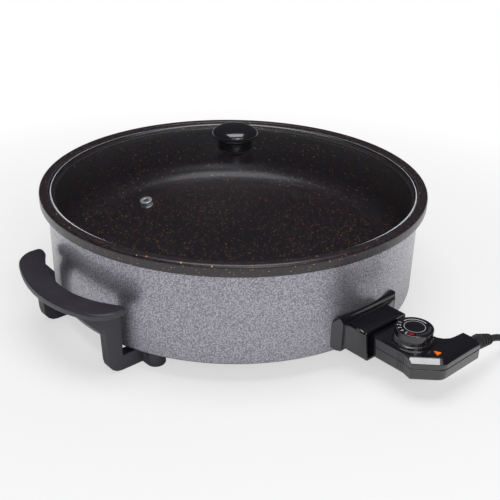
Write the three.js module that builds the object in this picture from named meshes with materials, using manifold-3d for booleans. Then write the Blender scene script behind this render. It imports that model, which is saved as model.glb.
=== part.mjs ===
// Round electric pan with a lift-off glass lid and a plug-in thermostat control.
// Lengths are in millimetres and +Z is up. The origin is the centre of the base
// plate's underside, on the pan's axis. The handles lie along X, and the socket
// for the control faces -Y.
import * as THREE from 'three';
import { mergeVertices } from 'three/addons/utils/BufferGeometryUtils.js';
import Module from 'manifold-3d';

const wasm = await Module();
wasm.setup();

// Clearances, and the facets and steps of round forms
const gap = 0.3; // between pieces that touch
const domeGap = 0.6; // between a flat washer and the curved glass
const overrun = 4; // how far a cutting body runs past a face
const facets = { large: 48, medium: 24, small: 12, tiny: 8 };
const cornerSteps = 4;
const roundSteps = 3;
const half = 0.5;
const quarter = Math.PI / 2;
const full = Math.PI * 2;

// The pan, whose rim stands its depth above its floor, and the drop to the table
const pan = {
  cavityRadius: 193.5,
  floorHeight: 36.5,
  rimWidth: 9.7,
  rimRound: 3.2,
  lipRound: 1.5,
  lipThickness: 3,
  bandHeight: 12.1,
  bandWall: 2.6,
  ledgeWidth: 6.8,
  ledgeDepth: 7.6,
  depth: 75,
  cornerRadius: 26,
  wall: 2.5,
  floor: 3,
  studRadius: 4.5,
  studClearance: 1.3,
};
const footDrop = 20;

// Below, a length named out is measured outwards from the jacket's wall, and one
// inside the wall is negative
const jacket = { airGap: 5, wall: 1, cornerRadius: 4, flangeWidth: 62, flangeBottom: 1.3 };
const basePlate = { thickness: 1, overlap: 16, slopeInset: 4, slope: 5 };
const reflector = { thickness: 0.6, clearance: 4, rim: 12, slope: 18, rise: 8 };
const baseScrew = { inset: 7, count: 4, headRadius: 3.2, headHeight: 1.9, shankRadius: 1.7, hold: 9.5 };

// The heating element, its terminals and the socket that guards them
const element = {
  loopOut: -89.5,
  tubeRadius: 3.5,
  leadOffset: 14,
  leadFlat: 12,
  leadRun: 36,
  bendRadius: 16,
  riseSteps: 4,
  loopSteps: 22,
  steps: 60,
};
const clip = { count: 3, width: 10, thickness: 1, foot: 7, slack: 0.5 };
const terminal = { height: 16.5, radius: 2.5, rootOut: -3, tipOut: 16, bushRadius: 5, bushOut: -2.4 };
const guide = { width: 15, innerOut: -54, outerOut: -26, wall: 2.5 };
const socket = {
  sidePlay: 5,
  heightPlay: 1,
  boxWall: 2.5,
  boxOut: 23.5,
  boxLean: 3.7,
  boxRound: 3,
  backOut: 5,
  flangeOut: 2.7,
  flangeSide: 16,
  flangeAbove: 9.8,
  flangeBelow: -3,
  flangeRound: 7,
  bevelRun: 2.4,
  bevelDrop: 6,
  sideBevel: 7,
  sideBevelRun: 7.6,
  windowMargin: 3,
  windowHeight: 17,
  screwInset: 11,
  screwAbove: 7.5,
};
const socketScrew = { headOut: -5.2, skin: 1.2, headRadius: 3.2, headHeight: 2.4, shankRadius: 1.5 };

// A side handle. Its grip is widest in the middle, and its legs end in bosses.
const grip = {
  out: 42.9,
  top: 53.5,
  thickness: 8.7,
  topRise: 2.6,
  underRise: 4.6,
  middleWidth: 25,
  halfLength: 81,
  cornerIn: 38.5,
  cornerRadius: 28,
  innerHalfLength: 71,
  innerBow: 22,
  bevel: 1.6,
  arcSteps: 5,
  endSteps: 5,
};
const leg = {
  innerOut: -5,
  depth: 18.5,
  taper: 2.3,
  inset: 13,
  thickness: 12,
  clearance: 0.5,
  toeRadius: 14,
  armTop: -2.5,
  sink: 5,
  leanRun: 10,
  leanDrop: 8,
  flareHeight: 21.5,
  flareReach: 6,
  flareShort: 2.2,
  flareSink: 3.4,
};
const boss = { out: -19.675, beside: 8.5, radius: 10 };
const pad = { radius: 8, thickness: 2.6 };
const handleScrew = { headRadius: 4.6, headHeight: 3.2, shankRadius: 2.5, proud: 1 };
const nut = { radius: 4.6, height: 4, sides: 6 };

// The lid, its steam vent and its knob
const lid = { edgeGap: 1.5, thickness: 4, rise: 36.3, edgeRound: 1, seatWidth: 3, bore: 4, steps: 6 };
const vent = { inset: 61.8, azimuth: 190.5, hole: 4.5, tube: 4.2, bore: 2.5, flangeRadius: 6, flange: 0.8 };
const gasket = { radius: 18.6, thickness: 1.5 };
const knob = {
  neckRadius: 18.3,
  neckHeight: 10.5,
  capRadius: 24.3,
  capHeight: 14.3,
  capRound: 4.5,
  underRound: 1.5,
  boreDepth: 14,
};
const knobWasher = { radius: 8, thickness: 1.2 };
const knobScrew = { headRadius: 4.6, headHeight: 3, shankRadius: 2.5, tipClearance: 2.6 };

// The plug-in control. Its front is measured beyond the edge of the dial's ring.
const dial = {
  out: 56.2,
  radius: 18,
  skirt: 1,
  skirtHeight: 2.2,
  height: 13.8,
  round: 1.2,
  ringEdge: 1.5,
  ringWidth: 3.5,
  ringHeight: 1.1,
  spindleRadius: 3,
  spindleHold: 6.9,
};
const contact = { radius: 4, toOut: 22 };
const control = {
  sidePlay: 2.5,
  height: 23,
  below: 12,
  wall: 2,
  bevel: 1.6,
  chamferRun: 3.7,
  chamferDrop: 5.5,
  noseOut: 6.3,
  noseNarrower: 2,
  shoulderOut: 28,
  noseStepOut: 34.8,
  noseStep: 1.3,
  cornerBeyond: 1.3,
  cornerFlare: 3,
  flareBeyond: -12.2,
  frontRound: 13,
  armLength: 29.5,
  armFrontBeyond: 19.8,
  armBackBeyond: 0.2,
  armRootBeyond: -0.8,
  armFillet: 14,
};
const sideRib = { count: 4, pitch: 2.2, width: 1, proud: 0.5, beyond: -20.2, short: 3.5 };
const switchBlock = { height: 12, sidePlay: 0.7, pastDial: 12 };
const probe = { radius: 2.5, setback: 4 };
const controlScrew = {
  headRadius: 2.4,
  headHeight: 1.8,
  shankRadius: 1.2,
  shankLength: 14,
  bossRadius: 3.4,
  sideInset: 4.9,
  sideOut: 31,
  armOffset: 10.5,
  armBeyond: 7.8,
};
const lens = { x: 0.6, tipBeyond: 2.9, length: 6.4, width: 6.2, proud: 0.4, depth: 1.6 };
const relief = {
  beyond: 9.8,
  collarRadius: 7,
  collarLength: 3,
  neckRadius: 5.5,
  sleeveRadius: 7,
  sleeveLength: 11,
  rootRadius: 6.4,
  tipRadius: 4,
  length: 34,
  ribs: 4,
  ribRise: 1.4,
  bendLength: 9,
  droop: 0.26,
};

// The cord. Its free stretches follow points chosen by hand, as X and Z.
const cord = { radius: 3.5, sides: 8, straight: 6.5, leadSteps: 22, tailSteps: 6 };
const leadRoute = [
  [99.5, 4.7],
  [107, 1.2],
  [115, -3.1],
  [122, -7.2],
  [128, -10.7],
  [132.6, -13.1],
  [136, -14.5],
  [138.8, -15],
  [141.5, -15],
];
const tailRoute = [
  [141.5, -7.4],
  [134, -7.3],
  [124, -6.1],
  [112, -3.6],
  [101, -1.8],
  [92, -1.5],
];
const coil = {
  x: 148.8,
  inner: 31,
  pitch: 7.6,
  turns: 3.5,
  climbTurns: 0.5,
  end: 7,
  stepsPerTurn: 24,
  sides: 6,
};
const tie = { width: 5, thickness: 1, slack: 0.5 };
const plug = {
  radius: 18.5,
  length: 34,
  neckRadius: 6,
  neckLength: 20,
  round: 3,
  pinRadius: 2.4,
  pinLength: 19,
  pinRoot: 8,
  pinOffset: 9.5,
};

// Radii that follow from the sizes above
const recessRadius = pan.cavityRadius + pan.ledgeWidth;
const rimRadius = recessRadius + pan.rimWidth;
const panOuter = pan.cavityRadius + pan.wall;
const jacketRadius = panOuter + jacket.airGap + jacket.wall;
const out = (distance) => jacketRadius + distance;
const flangeBore = jacketRadius - jacket.flangeWidth;
const plateRim = flangeBore + basePlate.overlap;
const plateSlope = flangeBore - basePlate.slopeInset;
const plateFace = plateSlope - basePlate.slope;
const reflectorFoot = plateRim + reflector.clearance;
const baseScrewCircle = flangeBore + baseScrew.inset;

// Levels of the pan and its base
const rimTop = pan.floorHeight + pan.depth;
const ledgeTop = rimTop - pan.ledgeDepth;
const floorUnder = pan.floorHeight - pan.floor;
const jacketTop = ledgeTop - pan.wall - gap;
const flangeTop = jacket.flangeBottom + jacket.wall;
const reflectorTop = flangeTop + gap + reflector.rise + reflector.thickness;
const studBottom = reflectorTop + pan.studClearance;
const elementHeight = floorUnder - gap - element.tubeRadius;

// Feet and their fasteners
const legFace = grip.halfLength - leg.inset;
const bossY = legFace + boss.beside;
const bossX = Math.sqrt(out(boss.out) ** 2 - bossY ** 2);
const bossTop = jacket.flangeBottom - gap;
const padTop = -footDrop + pad.thickness;
const handleScrewFace = padTop + gap + handleScrew.headHeight;
const nutTop = flangeTop + gap + nut.height;
const baseScrewFace = jacket.flangeBottom - gap;

// The lid
const lidUnder = ledgeTop + gap;
const lidRadius = recessRadius - lid.edgeGap;
const domeRadius = (lidRadius ** 2 + lid.rise ** 2) / (2 * lid.rise);
const lidTop = lidUnder + lid.thickness + lid.rise;
const domeCentre = lidTop - domeRadius;
const ventCircle = lidRadius - vent.inset;
const gasketBottom = lidTop + gap;
const knobBottom = gasketBottom + gasket.thickness + gap;
const washerTop = lidTop - lid.thickness - gap;
const washerBottom = washerTop - knobWasher.thickness;

// The control and its socket
const dialFrom = out(dial.out);
const skirtRadius = dial.radius + dial.skirt;
const ringRadius = skirtRadius + dial.ringEdge;
const beyond = (distance) => dialFrom + ringRadius + distance;
const controlSide = element.leadOffset + contact.radius + control.sidePlay + control.wall;
const controlBottom = terminal.height - control.below;
const controlTop = controlBottom + control.height;
const armEnd = controlSide + control.armLength;
const splitLow = terminal.height - gap * half;
const splitHigh = terminal.height + gap * half;
const contactFrom = out(control.noseOut) + control.wall + gap;
const controlScrewFace = controlBottom + gap + controlScrew.headHeight;
const controlScrewX = controlSide - controlScrew.sideInset;
const switchBottom = controlBottom + control.wall + gap;
const switchTop = switchBottom + switchBlock.height;
const switchSide = controlScrewX - controlScrew.bossRadius - switchBlock.sidePlay;
const dialBottom = controlTop + dial.ringHeight + gap;
const spindleBottom = switchTop + gap;
const spindleTop = dialBottom + dial.spindleHold;
const lensFrom = beyond(lens.tipBeyond);
const reliefFrom = beyond(relief.beyond);
const boxSide = controlSide + socket.sidePlay + socket.boxWall;
const boxBottom = controlBottom - socket.heightPlay - socket.boxWall;
const boxTop = controlTop + socket.heightPlay + socket.boxWall;
const flangeSide = boxSide + socket.flangeSide;
const socketScrewX = flangeSide - socket.screwInset;
const socketScrewZ = terminal.height + socket.screwAbove;
const socketScrewTip = socket.flangeOut - socketScrew.skin;

// The cord's coil
const coilOuter = coil.inner + (coil.pitch * coil.turns) / 2;
const coilHeight = -footDrop + tie.thickness + tie.slack + cord.radius;
const coilY = -reliefFrom - coilOuter;

const look = {
  nonStick: { color: 0x2b2529, roughness: 0.45, metalness: 0.3 },
  hammertone: { color: 0x96959d, roughness: 0.4, metalness: 0.5 },
  zincSteel: { color: 0xa9abad, roughness: 0.4, metalness: 0.9 },
  steel: { color: 0xc9cacc, roughness: 0.25, metalness: 1 },
  brass: { color: 0xb99a4b, roughness: 0.3, metalness: 1 },
  ceramic: { color: 0xe9e4d8, roughness: 0.5, metalness: 0 },
  satinPlastic: { color: 0x2d292f, roughness: 0.45, metalness: 0 },
  glossPlastic: { color: 0x141317, roughness: 0.15, metalness: 0 },
  rubber: { color: 0x1c1b1d, roughness: 0.8, metalness: 0 },
  glass: { color: 0x59605f, roughness: 0.05, metalness: 0, transparent: true, opacity: 0.35 },
  amber: { color: 0xe57a12, roughness: 0.25, metalness: 0 },
};

// Booleans on closed meshes
function solidOf(geometry) {
  const bare = new THREE.BufferGeometry();
  bare.setAttribute('position', geometry.getAttribute('position'));
  bare.setIndex(geometry.getIndex());
  const merged = mergeVertices(bare);
  const corners = [];
  for (let i = 0; i < merged.index.count; i += 3) {
    const [a, b, c] = [0, 1, 2].map((k) => merged.index.getX(i + k));
    if (a !== b && b !== c && c !== a) corners.push(a, b, c);
  }
  const vertProperties = new Float32Array(merged.getAttribute('position').array);
  const triVerts = new Uint32Array(corners);
  return new wasm.Manifold(new wasm.Mesh({ numProp: 3, vertProperties, triVerts }));
}

function geometryOf(solid) {
  const mesh = solid.getMesh();
  const geometry = new THREE.BufferGeometry();
  geometry.setAttribute('position', new THREE.BufferAttribute(mesh.vertProperties, mesh.numProp));
  geometry.setIndex(new THREE.BufferAttribute(mesh.triVerts, 1));
  geometry.computeVertexNormals();
  return geometry;
}

function join(first, ...others) {
  return geometryOf(others.reduce((sum, other) => sum.add(solidOf(other)), solidOf(first)));
}

function cut(first, ...tools) {
  return geometryOf(tools.reduce((rest, tool) => rest.subtract(solidOf(tool)), solidOf(first)));
}

function meet(first, second) {
  return geometryOf(solidOf(first).intersect(solidOf(second)));
}

// Outlines
function points(...pairs) {
  return pairs.map(([x, y]) => new THREE.Vector2(x, y));
}

function arc(centreX, centreY, radius, from, to, steps = roundSteps) {
  return Array.from({ length: steps + 1 }, (_, i) => {
    const angle = from + ((to - from) * i) / steps;
    return new THREE.Vector2(centreX + radius * Math.cos(angle), centreY + radius * Math.sin(angle));
  });
}

function roundedRectangle(left, right, bottom, top, radius) {
  return [
    ...arc(right - radius, bottom + radius, radius, -quarter, 0),
    ...arc(right - radius, top - radius, radius, 0, quarter),
    ...arc(left + radius, top - radius, radius, quarter, 2 * quarter),
    ...arc(left + radius, bottom + radius, radius, 2 * quarter, 3 * quarter),
  ];
}

// Basic forms. A turned profile holds radii and heights, anticlockwise, and a
// profile that leaves the axis alone closes on itself.
function turned(profile, count = facets.large) {
  const onAxis = profile[0].x === 0;
  const whole = onAxis ? profile : [...profile, profile[0].clone()];
  return new THREE.LatheGeometry(whole, count).rotateX(quarter);
}

function disc(radius, low, high, count = facets.medium) {
  return turned(points([0, low], [radius, low], [radius, high], [0, high]), count);
}

function ring(bore, radius, low, high, count = facets.medium) {
  return turned(points([bore, low], [radius, low], [radius, high], [bore, high]), count);
}

function box(low, high) {
  const size = high.map((value, i) => value - low[i]);
  const centre = high.map((value, i) => (value + low[i]) * half);
  return new THREE.BoxGeometry(...size).translate(...centre);
}

function bar(from, to, radius, count = facets.small) {
  const start = new THREE.Vector3(...from);
  const run = new THREE.Vector3(...to).sub(start);
  const direction = run.clone().normalize();
  const turn = new THREE.Quaternion().setFromUnitVectors(new THREE.Vector3(0, 1, 0), direction);
  const middle = start.addScaledVector(run, half);
  return new THREE.CylinderGeometry(radius, radius, run.length(), count)
    .applyQuaternion(turn)
    .translate(...middle.toArray());
}

function prism(outline, low, high, bevel = 0) {
  return new THREE.ExtrudeGeometry(new THREE.Shape(outline), {
    depth: high - low - 2 * bevel,
    bevelEnabled: bevel > 0,
    bevelThickness: bevel,
    bevelSize: bevel,
    bevelOffset: -bevel,
    bevelSegments: 2,
  }).translate(0, 0, low + bevel);
}

// Anticlockwise outlines with as many corners each, one above another
function stack(outlines, levels) {
  const count = outlines[0].length;
  const last = (outlines.length - 1) * count;
  const positions = outlines.flatMap((outline, i) => outline.flatMap(({ x, y }) => [x, y, levels[i]]));
  const index = [];
  for (let start = 0; start < last; start += count) {
    for (let k = 0; k < count; k += 1) {
      const [a, b] = [start + k, start + ((k + 1) % count)];
      index.push(a, b, b + count, a, b + count, a + count);
    }
  }
  const capOf = (outline) => THREE.ShapeUtils.triangulateShape(outline, []);
  capOf(outlines[0]).forEach(([a, b, c]) => index.push(a, c, b));
  capOf(outlines[outlines.length - 1]).forEach((corners) => index.push(...corners.map((k) => k + last)));
  const geometry = new THREE.BufferGeometry();
  geometry.setAttribute('position', new THREE.Float32BufferAttribute(positions, 3));
  geometry.setIndex(index);
  return geometry;
}

// The outline's first axis becomes Y, its second is the height
function prismAlongX(outline, low, high) {
  return prism(outline, low, high).rotateZ(quarter).rotateY(quarter);
}

// The outline's first axis stays X, its second is the height
function prismAlongY(outline, low, high) {
  return prism(outline, -high, -low).rotateX(quarter);
}

function sweep(route, radius, sides, steps) {
  const curve = new THREE.CatmullRomCurve3(route.map((place) => new THREE.Vector3(...place)));
  const section = new THREE.Shape(arc(0, 0, radius, 0, full, sides).slice(1));
  return new THREE.ExtrudeGeometry(section, { steps, bevelEnabled: false, extrudePath: curve });
}

// A screw that points up, with the bearing face of its head at height 0
function screw({ headRadius, headHeight, shankRadius }, shankLength) {
  const edge = headHeight * half;
  const profile = points(
    [0, -headHeight],
    [headRadius - edge, -headHeight],
    [headRadius, -edge],
    [headRadius, 0],
    [shankRadius, 0],
    [shankRadius, shankLength],
    [0, shankLength],
  );
  return turned(profile, facets.tiny);
}

const whole = new THREE.Group();

function add(name, geometry, finish, place = [0, 0, 0]) {
  const mesh = new THREE.Mesh(geometryOf(solidOf(geometry)), new THREE.MeshStandardMaterial(look[finish]));
  mesh.name = name;
  mesh.position.set(...place);
  whole.add(mesh);
  return mesh;
}

// Places of the repeated fasteners, as X and Y
const footPlaces = [1, -1].flatMap((sideX) =>
  [1, -1].map((sideY) => [sideX * bossX, sideY * bossY]),
);
const baseScrewPlaces = Array.from({ length: baseScrew.count }, (_, i) => {
  const angle = ((i + half) * full) / baseScrew.count;
  return [baseScrewCircle * Math.cos(angle), baseScrewCircle * Math.sin(angle)];
});
const controlScrewPlaces = [
  [-controlScrewX, -out(controlScrew.sideOut)],
  [controlScrewX, -out(controlScrew.sideOut)],
  [controlSide + controlScrew.armOffset, -beyond(controlScrew.armBeyond)],
];

function uprightHoles(places, radius, low, high) {
  return places.map(([x, y]) => bar([x, y, low], [x, y, high], radius, facets.tiny));
}

// The pan is one casting: floor, wall, a ledge for the lid, an overhanging rim, and
// four studs under the floor for the screws that clamp the base
function innerPan() {
  const fillet = pan.cavityRadius - pan.cornerRadius;
  const filletHeight = pan.floorHeight + pan.cornerRadius;
  const ledgeUnder = ledgeTop - pan.wall;
  const bandBottom = rimTop - pan.bandHeight;
  const lipUnder = rimTop - pan.lipThickness;
  const shell = turned([
    ...points([0, floorUnder]),
    ...arc(fillet, filletHeight, filletHeight - floorUnder, -quarter, 0, cornerSteps),
    ...points(
      [panOuter, ledgeUnder],
      [recessRadius + pan.wall, ledgeUnder],
      [recessRadius + pan.wall, lipUnder],
      [rimRadius - pan.bandWall, lipUnder],
      [rimRadius - pan.bandWall, bandBottom],
      [rimRadius, bandBottom],
    ),
    ...arc(rimRadius - pan.rimRound, rimTop - pan.rimRound, pan.rimRound, 0, quarter),
    ...arc(recessRadius + pan.lipRound, rimTop - pan.lipRound, pan.lipRound, quarter, 2 * quarter, 2),
    ...points([recessRadius, ledgeTop], [pan.cavityRadius, ledgeTop]),
    ...arc(fillet, filletHeight, pan.cornerRadius, 0, -quarter, cornerSteps),
    ...points([0, pan.floorHeight]),
  ]);
  const middle = pan.floorHeight - pan.floor * half;
  const studs = baseScrewPlaces.map(([x, y]) =>
    bar([x, y, studBottom], [x, y, middle], pan.studRadius, facets.small),
  );
  const bore = baseScrew.shankRadius + gap;
  const holes = uprightHoles(baseScrewPlaces, bore, studBottom - overrun, studBottom + baseScrew.hold + gap);
  return cut(join(shell, ...studs), ...holes);
}

// The sheet jacket, with its inward flange, the window for the terminals and its holes
function outerJacket() {
  const centre = jacketRadius - jacket.cornerRadius;
  const height = jacket.flangeBottom + jacket.cornerRadius;
  const innerCorner = jacket.cornerRadius - jacket.wall;
  const shell = turned([
    ...points([flangeBore, jacket.flangeBottom]),
    ...arc(centre, height, jacket.cornerRadius, -quarter, 0, cornerSteps),
    ...points([jacketRadius, jacketTop], [jacketRadius - jacket.wall, jacketTop]),
    ...arc(centre, height, innerCorner, 0, -quarter, cornerSteps),
    ...points([flangeBore, flangeTop]),
  ]);
  const side = element.leadOffset + terminal.bushRadius + socket.windowMargin;
  const low = terminal.height - socket.windowHeight * half;
  const outside = -jacketRadius - overrun;
  const window = box([-side, outside, low], [side, -flangeBore, low + socket.windowHeight]);
  const holes = [-1, 1].map((sign) => {
    const x = sign * socketScrewX;
    const inside = -out(socketScrew.headOut) + overrun;
    const radius = socketScrew.shankRadius + gap;
    return bar([x, outside, socketScrewZ], [x, inside, socketScrewZ], radius, facets.tiny);
  });
  const under = jacket.flangeBottom - overrun;
  const over = flangeTop + overrun;
  const handleHoles = uprightHoles(footPlaces, handleScrew.shankRadius + gap, under, over);
  const baseHoles = uprightHoles(baseScrewPlaces, baseScrew.shankRadius + gap, under, over);
  return cut(shell, window, ...holes, ...handleHoles, ...baseHoles);
}

// The base plate drops through the flange's opening, and its rim lies on the flange
function bottomPlate() {
  const under = [
    [0, 0],
    [plateFace, 0],
    [plateSlope, flangeTop + gap],
    [plateRim, flangeTop + gap],
  ];
  const over = under.map(([radius, z]) => [radius, z + basePlate.thickness]).reverse();
  const plate = turned(points(...under, ...over), facets.medium);
  return cut(plate, ...uprightHoles(baseScrewPlaces, baseScrew.shankRadius + gap, 0, flangeTop + overrun));
}

// A dished sheet that throws the element's heat back up at the pan
function heatReflector() {
  const low = flangeTop + gap;
  const under = [
    [0, low + reflector.rise],
    [reflectorFoot - reflector.slope, low + reflector.rise],
    [reflectorFoot, low],
    [reflectorFoot + reflector.rim, low],
  ];
  const over = under.map(([radius, z]) => [radius, z + reflector.thickness]).reverse();
  const dish = turned(points(...under, ...over), facets.medium);
  const high = reflectorTop + overrun;
  return cut(dish, ...uprightHoles(baseScrewPlaces, baseScrew.shankRadius + 2 * gap, low, high));
}

// A tubular loop under the floor. Both ends drop to the height of the terminals.
function heatingElement() {
  const { leadOffset, bendRadius, leadFlat, leadRun } = element;
  const loopRadius = out(element.loopOut);
  const end = -out(terminal.rootOut) + gap;
  const joinX = leadOffset + bendRadius;
  const joinAngle = Math.asin(joinX / loopRadius);
  const bendY = -loopRadius * Math.cos(joinAngle) - bendRadius;
  const diagonal = bendRadius * Math.SQRT1_2;
  const climb = elementHeight - terminal.height;
  const rise = Array.from({ length: element.riseSteps + 1 }, (_, i) => {
    const share = i / element.riseSteps;
    const height = terminal.height + climb * half * (1 - Math.cos(share * Math.PI));
    return [-leadOffset, end + leadFlat + leadRun * share, height];
  });
  const lead = [
    [-leadOffset, end, terminal.height],
    [-leadOffset, end + leadFlat * half, terminal.height],
    ...rise,
    [-leadOffset, (end + leadFlat + leadRun + bendY) * half, elementHeight],
    [-leadOffset, bendY, elementHeight],
    [-joinX + diagonal, bendY + diagonal, elementHeight],
  ];
  const loop = Array.from({ length: element.loopSteps + 1 }, (_, i) => {
    const angle = -quarter - joinAngle - ((full - 2 * joinAngle) * i) / element.loopSteps;
    return [loopRadius * Math.cos(angle), loopRadius * Math.sin(angle), elementHeight];
  });
  const back = lead.map(([x, y, z]) => [-x, y, z]).reverse();
  return sweep([...lead, ...loop, ...back], element.tubeRadius, facets.tiny, element.steps);
}

// A strap bent round the element, with its two feet against the pan's floor
function elementClip() {
  const inside = element.tubeRadius + clip.slack;
  const outside = inside + clip.thickness;
  const reach = outside + clip.foot;
  const top = floorUnder - gap;
  const under = top - clip.thickness;
  const outline = [
    ...points([inside, top], [reach, top], [reach, under], [outside, under]),
    ...arc(0, elementHeight, outside, 0, -2 * quarter, 2 * roundSteps),
    ...points([-outside, under], [-reach, under], [-reach, top], [-inside, top]),
    ...arc(0, elementHeight, inside, -2 * quarter, 0, 2 * roundSteps),
  ];
  return prismAlongY(outline, -clip.width * half, clip.width * half);
}

// A block under the floor, whose bore brings the probe's heat down from the pan
function probeGuide() {
  const bore = probe.radius + gap;
  const low = terminal.height - bore - guide.wall;
  const side = guide.width * half;
  const [outer, inner] = [out(guide.outerOut), out(guide.innerOut)];
  const block = box([-side, -outer, low], [side, -inner, floorUnder - gap]);
  return cut(block, barTowardsSocket(0, inner - overrun, outer + overrun, bore));
}

function barTowardsSocket(x, root, tip, radius) {
  return bar([x, -root, terminal.height], [x, -tip, terminal.height], radius);
}

function terminalBush(x) {
  const [root, face] = [out(terminal.bushOut), out(socket.backOut)];
  const body = barTowardsSocket(x, root, face, terminal.bushRadius);
  return cut(body, barTowardsSocket(x, root - overrun, face + overrun, terminal.radius + gap));
}

// The moulded socket: a flange that follows the jacket, and a box open towards -Y
function socketHousing() {
  const face = out(socket.flangeOut);
  const flangeBottom = boxBottom - socket.flangeBelow;
  const flangeTopEdge = boxTop + socket.flangeAbove;
  const root = Math.sqrt(jacketRadius ** 2 - flangeSide ** 2) - overrun;
  const profile = points(
    [-face, flangeBottom],
    [-root, flangeBottom],
    [-root, flangeTopEdge],
    [-face + socket.bevelRun, flangeTopEdge],
    [-face, flangeTopEdge - socket.bevelDrop],
  );
  const plan = points(
    [flangeSide, -root],
    [-flangeSide, -root],
    [-flangeSide, -face + socket.sideBevelRun],
    [-flangeSide + socket.sideBevel, -face],
    [flangeSide - socket.sideBevel, -face],
    [flangeSide, -face + socket.sideBevelRun],
  );
  const plate = roundedRectangle(-flangeSide, flangeSide, flangeBottom, flangeTopEdge, socket.flangeRound);
  const flange = meet(
    meet(prismAlongX(profile, -flangeSide, flangeSide), prism(plan, flangeBottom, flangeTopEdge)),
    prismAlongY(plate, -face - overrun, -root + overrun),
  );
  const wall = socket.boxWall;
  const outer = roundedRectangle(-boxSide, boxSide, boxBottom, boxTop, socket.boxRound);
  const inner = roundedRectangle(
    -boxSide + wall,
    boxSide - wall,
    boxBottom + wall,
    boxTop - wall,
    socket.boxRound * half,
  );
  const lip = -out(socket.boxOut);
  const side = points([lip - socket.boxLean, boxBottom], [-root, boxBottom], [-root, boxTop], [lip, boxTop]);
  const sleeve = meet(
    prismAlongY(outer, lip - socket.boxLean, -root),
    prismAlongX(side, -boxSide - overrun, boxSide + overrun),
  );
  const body = join(flange, sleeve);
  const mouth = prismAlongY(inner, lip - socket.boxLean - overrun, -out(socket.backOut));
  const drum = disc(jacketRadius + gap, boxBottom - overrun, flangeTopEdge + overrun, facets.large);
  const inside = root - overrun;
  const through = out(socket.backOut) + overrun;
  const bushes = [-1, 1].map((sign) =>
    barTowardsSocket(sign * element.leadOffset, inside, through, terminal.bushRadius + gap),
  );
  const probeHole = barTowardsSocket(0, inside, through, probe.radius + 2 * gap);
  const screwHoles = [-1, 1].map((sign) => {
    const x = sign * socketScrewX;
    const tip = out(socketScrewTip) + gap;
    const radius = socketScrew.shankRadius + gap;
    return bar([x, -inside, socketScrewZ], [x, -tip, socketScrewZ], radius, facets.tiny);
  });
  return cut(body, mouth, drum, ...bushes, probeHole, ...screwHoles);
}

// The grip in plan. Its outer arc runs on into the arcs of its two ends.
const gripOuter = out(grip.out);
const gripInner = gripOuter - grip.middleWidth;
const gripInnerEnd = gripInner - grip.innerBow;
const gripEndX = gripOuter - grip.cornerIn;
const gripEndY = grip.halfLength - grip.cornerRadius;
const gripArc =
  (grip.cornerIn ** 2 + gripEndY ** 2 - grip.cornerRadius ** 2) / (2 * (grip.cornerIn - grip.cornerRadius));
const gripTurn = Math.asin(gripEndY / (gripArc - grip.cornerRadius));
const gripInnerArc = (grip.innerHalfLength ** 2 + grip.innerBow ** 2) / (2 * grip.innerBow);
const gripUnder = grip.top - grip.thickness;

const chord = (radius, distance) => Math.sqrt(Math.max(radius ** 2 - distance ** 2, 0));

function gripOuterAt(y) {
  if (y <= gripArc * Math.sin(gripTurn)) return gripOuter - gripArc + chord(gripArc, y);
  return gripEndX + chord(grip.cornerRadius, y - gripEndY);
}

function gripInnerAt(y) {
  if (y <= grip.innerHalfLength) return gripInner - gripInnerArc + chord(gripInnerArc, y);
  return Math.max(gripInnerEnd, gripEndX - chord(grip.cornerRadius, y - gripEndY));
}

// A section of the grip across Y, whose heights rise towards the ends
function gripSection(y) {
  const outer = gripOuterAt(Math.abs(y));
  const inner = gripInnerAt(Math.abs(y));
  const share = (y / grip.halfLength) ** 2;
  const top = grip.top + grip.topRise * share;
  const under = gripUnder + grip.underRise * share;
  const bevel = grip.bevel;
  return [
    [outer, under + bevel],
    [outer, top - bevel],
    [outer - bevel, top],
    [inner + bevel, top],
    [inner, top - bevel],
    [inner, under + bevel],
    [inner + bevel, under],
    [outer - bevel, under],
  ].map(([x, z]) => new THREE.Vector3(x, y, z));
}

function gripSlab() {
  const { arcSteps, endSteps } = grip;
  const alongArc = Array.from({ length: arcSteps + 1 }, (_, i) => {
    return gripArc * Math.sin((gripTurn * i) / arcSteps);
  });
  const alongEnd = Array.from({ length: endSteps - 1 }, (_, i) => {
    const angle = gripTurn + ((quarter - gripTurn) * (i + 1)) / endSteps;
    return gripEndY + grip.cornerRadius * Math.sin(angle);
  });
  const far = [...alongArc.slice(1), ...alongEnd];
  const near = far.map((y) => -y).reverse();
  return tubeOf([...near, 0, ...far].map(gripSection));
}

const legInner = out(leg.innerOut);
const legOuter = legInner + leg.depth;
const legFoot = -footDrop + leg.clearance;
const legInside = legFace - leg.thickness;
const legTop = gripUnder + leg.sink;

// The leg widens towards the grip's outer edge on the side of the handle's middle
function legFlare(sign) {
  const back = legInner + leg.leanRun;
  const low = gripUnder - leg.flareHeight;
  const high = gripUnder + leg.flareSink;
  const near = legInside - leg.flareReach;
  const edge = gripOuterAt(near) - leg.flareShort;
  const corners = [
    [back, legInside, low],
    [back, legFace, low],
    [legOuter - leg.taper, legInside, low],
    [legOuter - leg.taper, legFace, low],
    [back, near, high],
    [back, legFace, high],
    [edge, near, high],
    [legOuter - gap, legFace, high],
  ];
  return geometryOf(wasm.Manifold.hull(corners.map(([x, y, z]) => [x, sign * y, z])));
}

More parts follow.
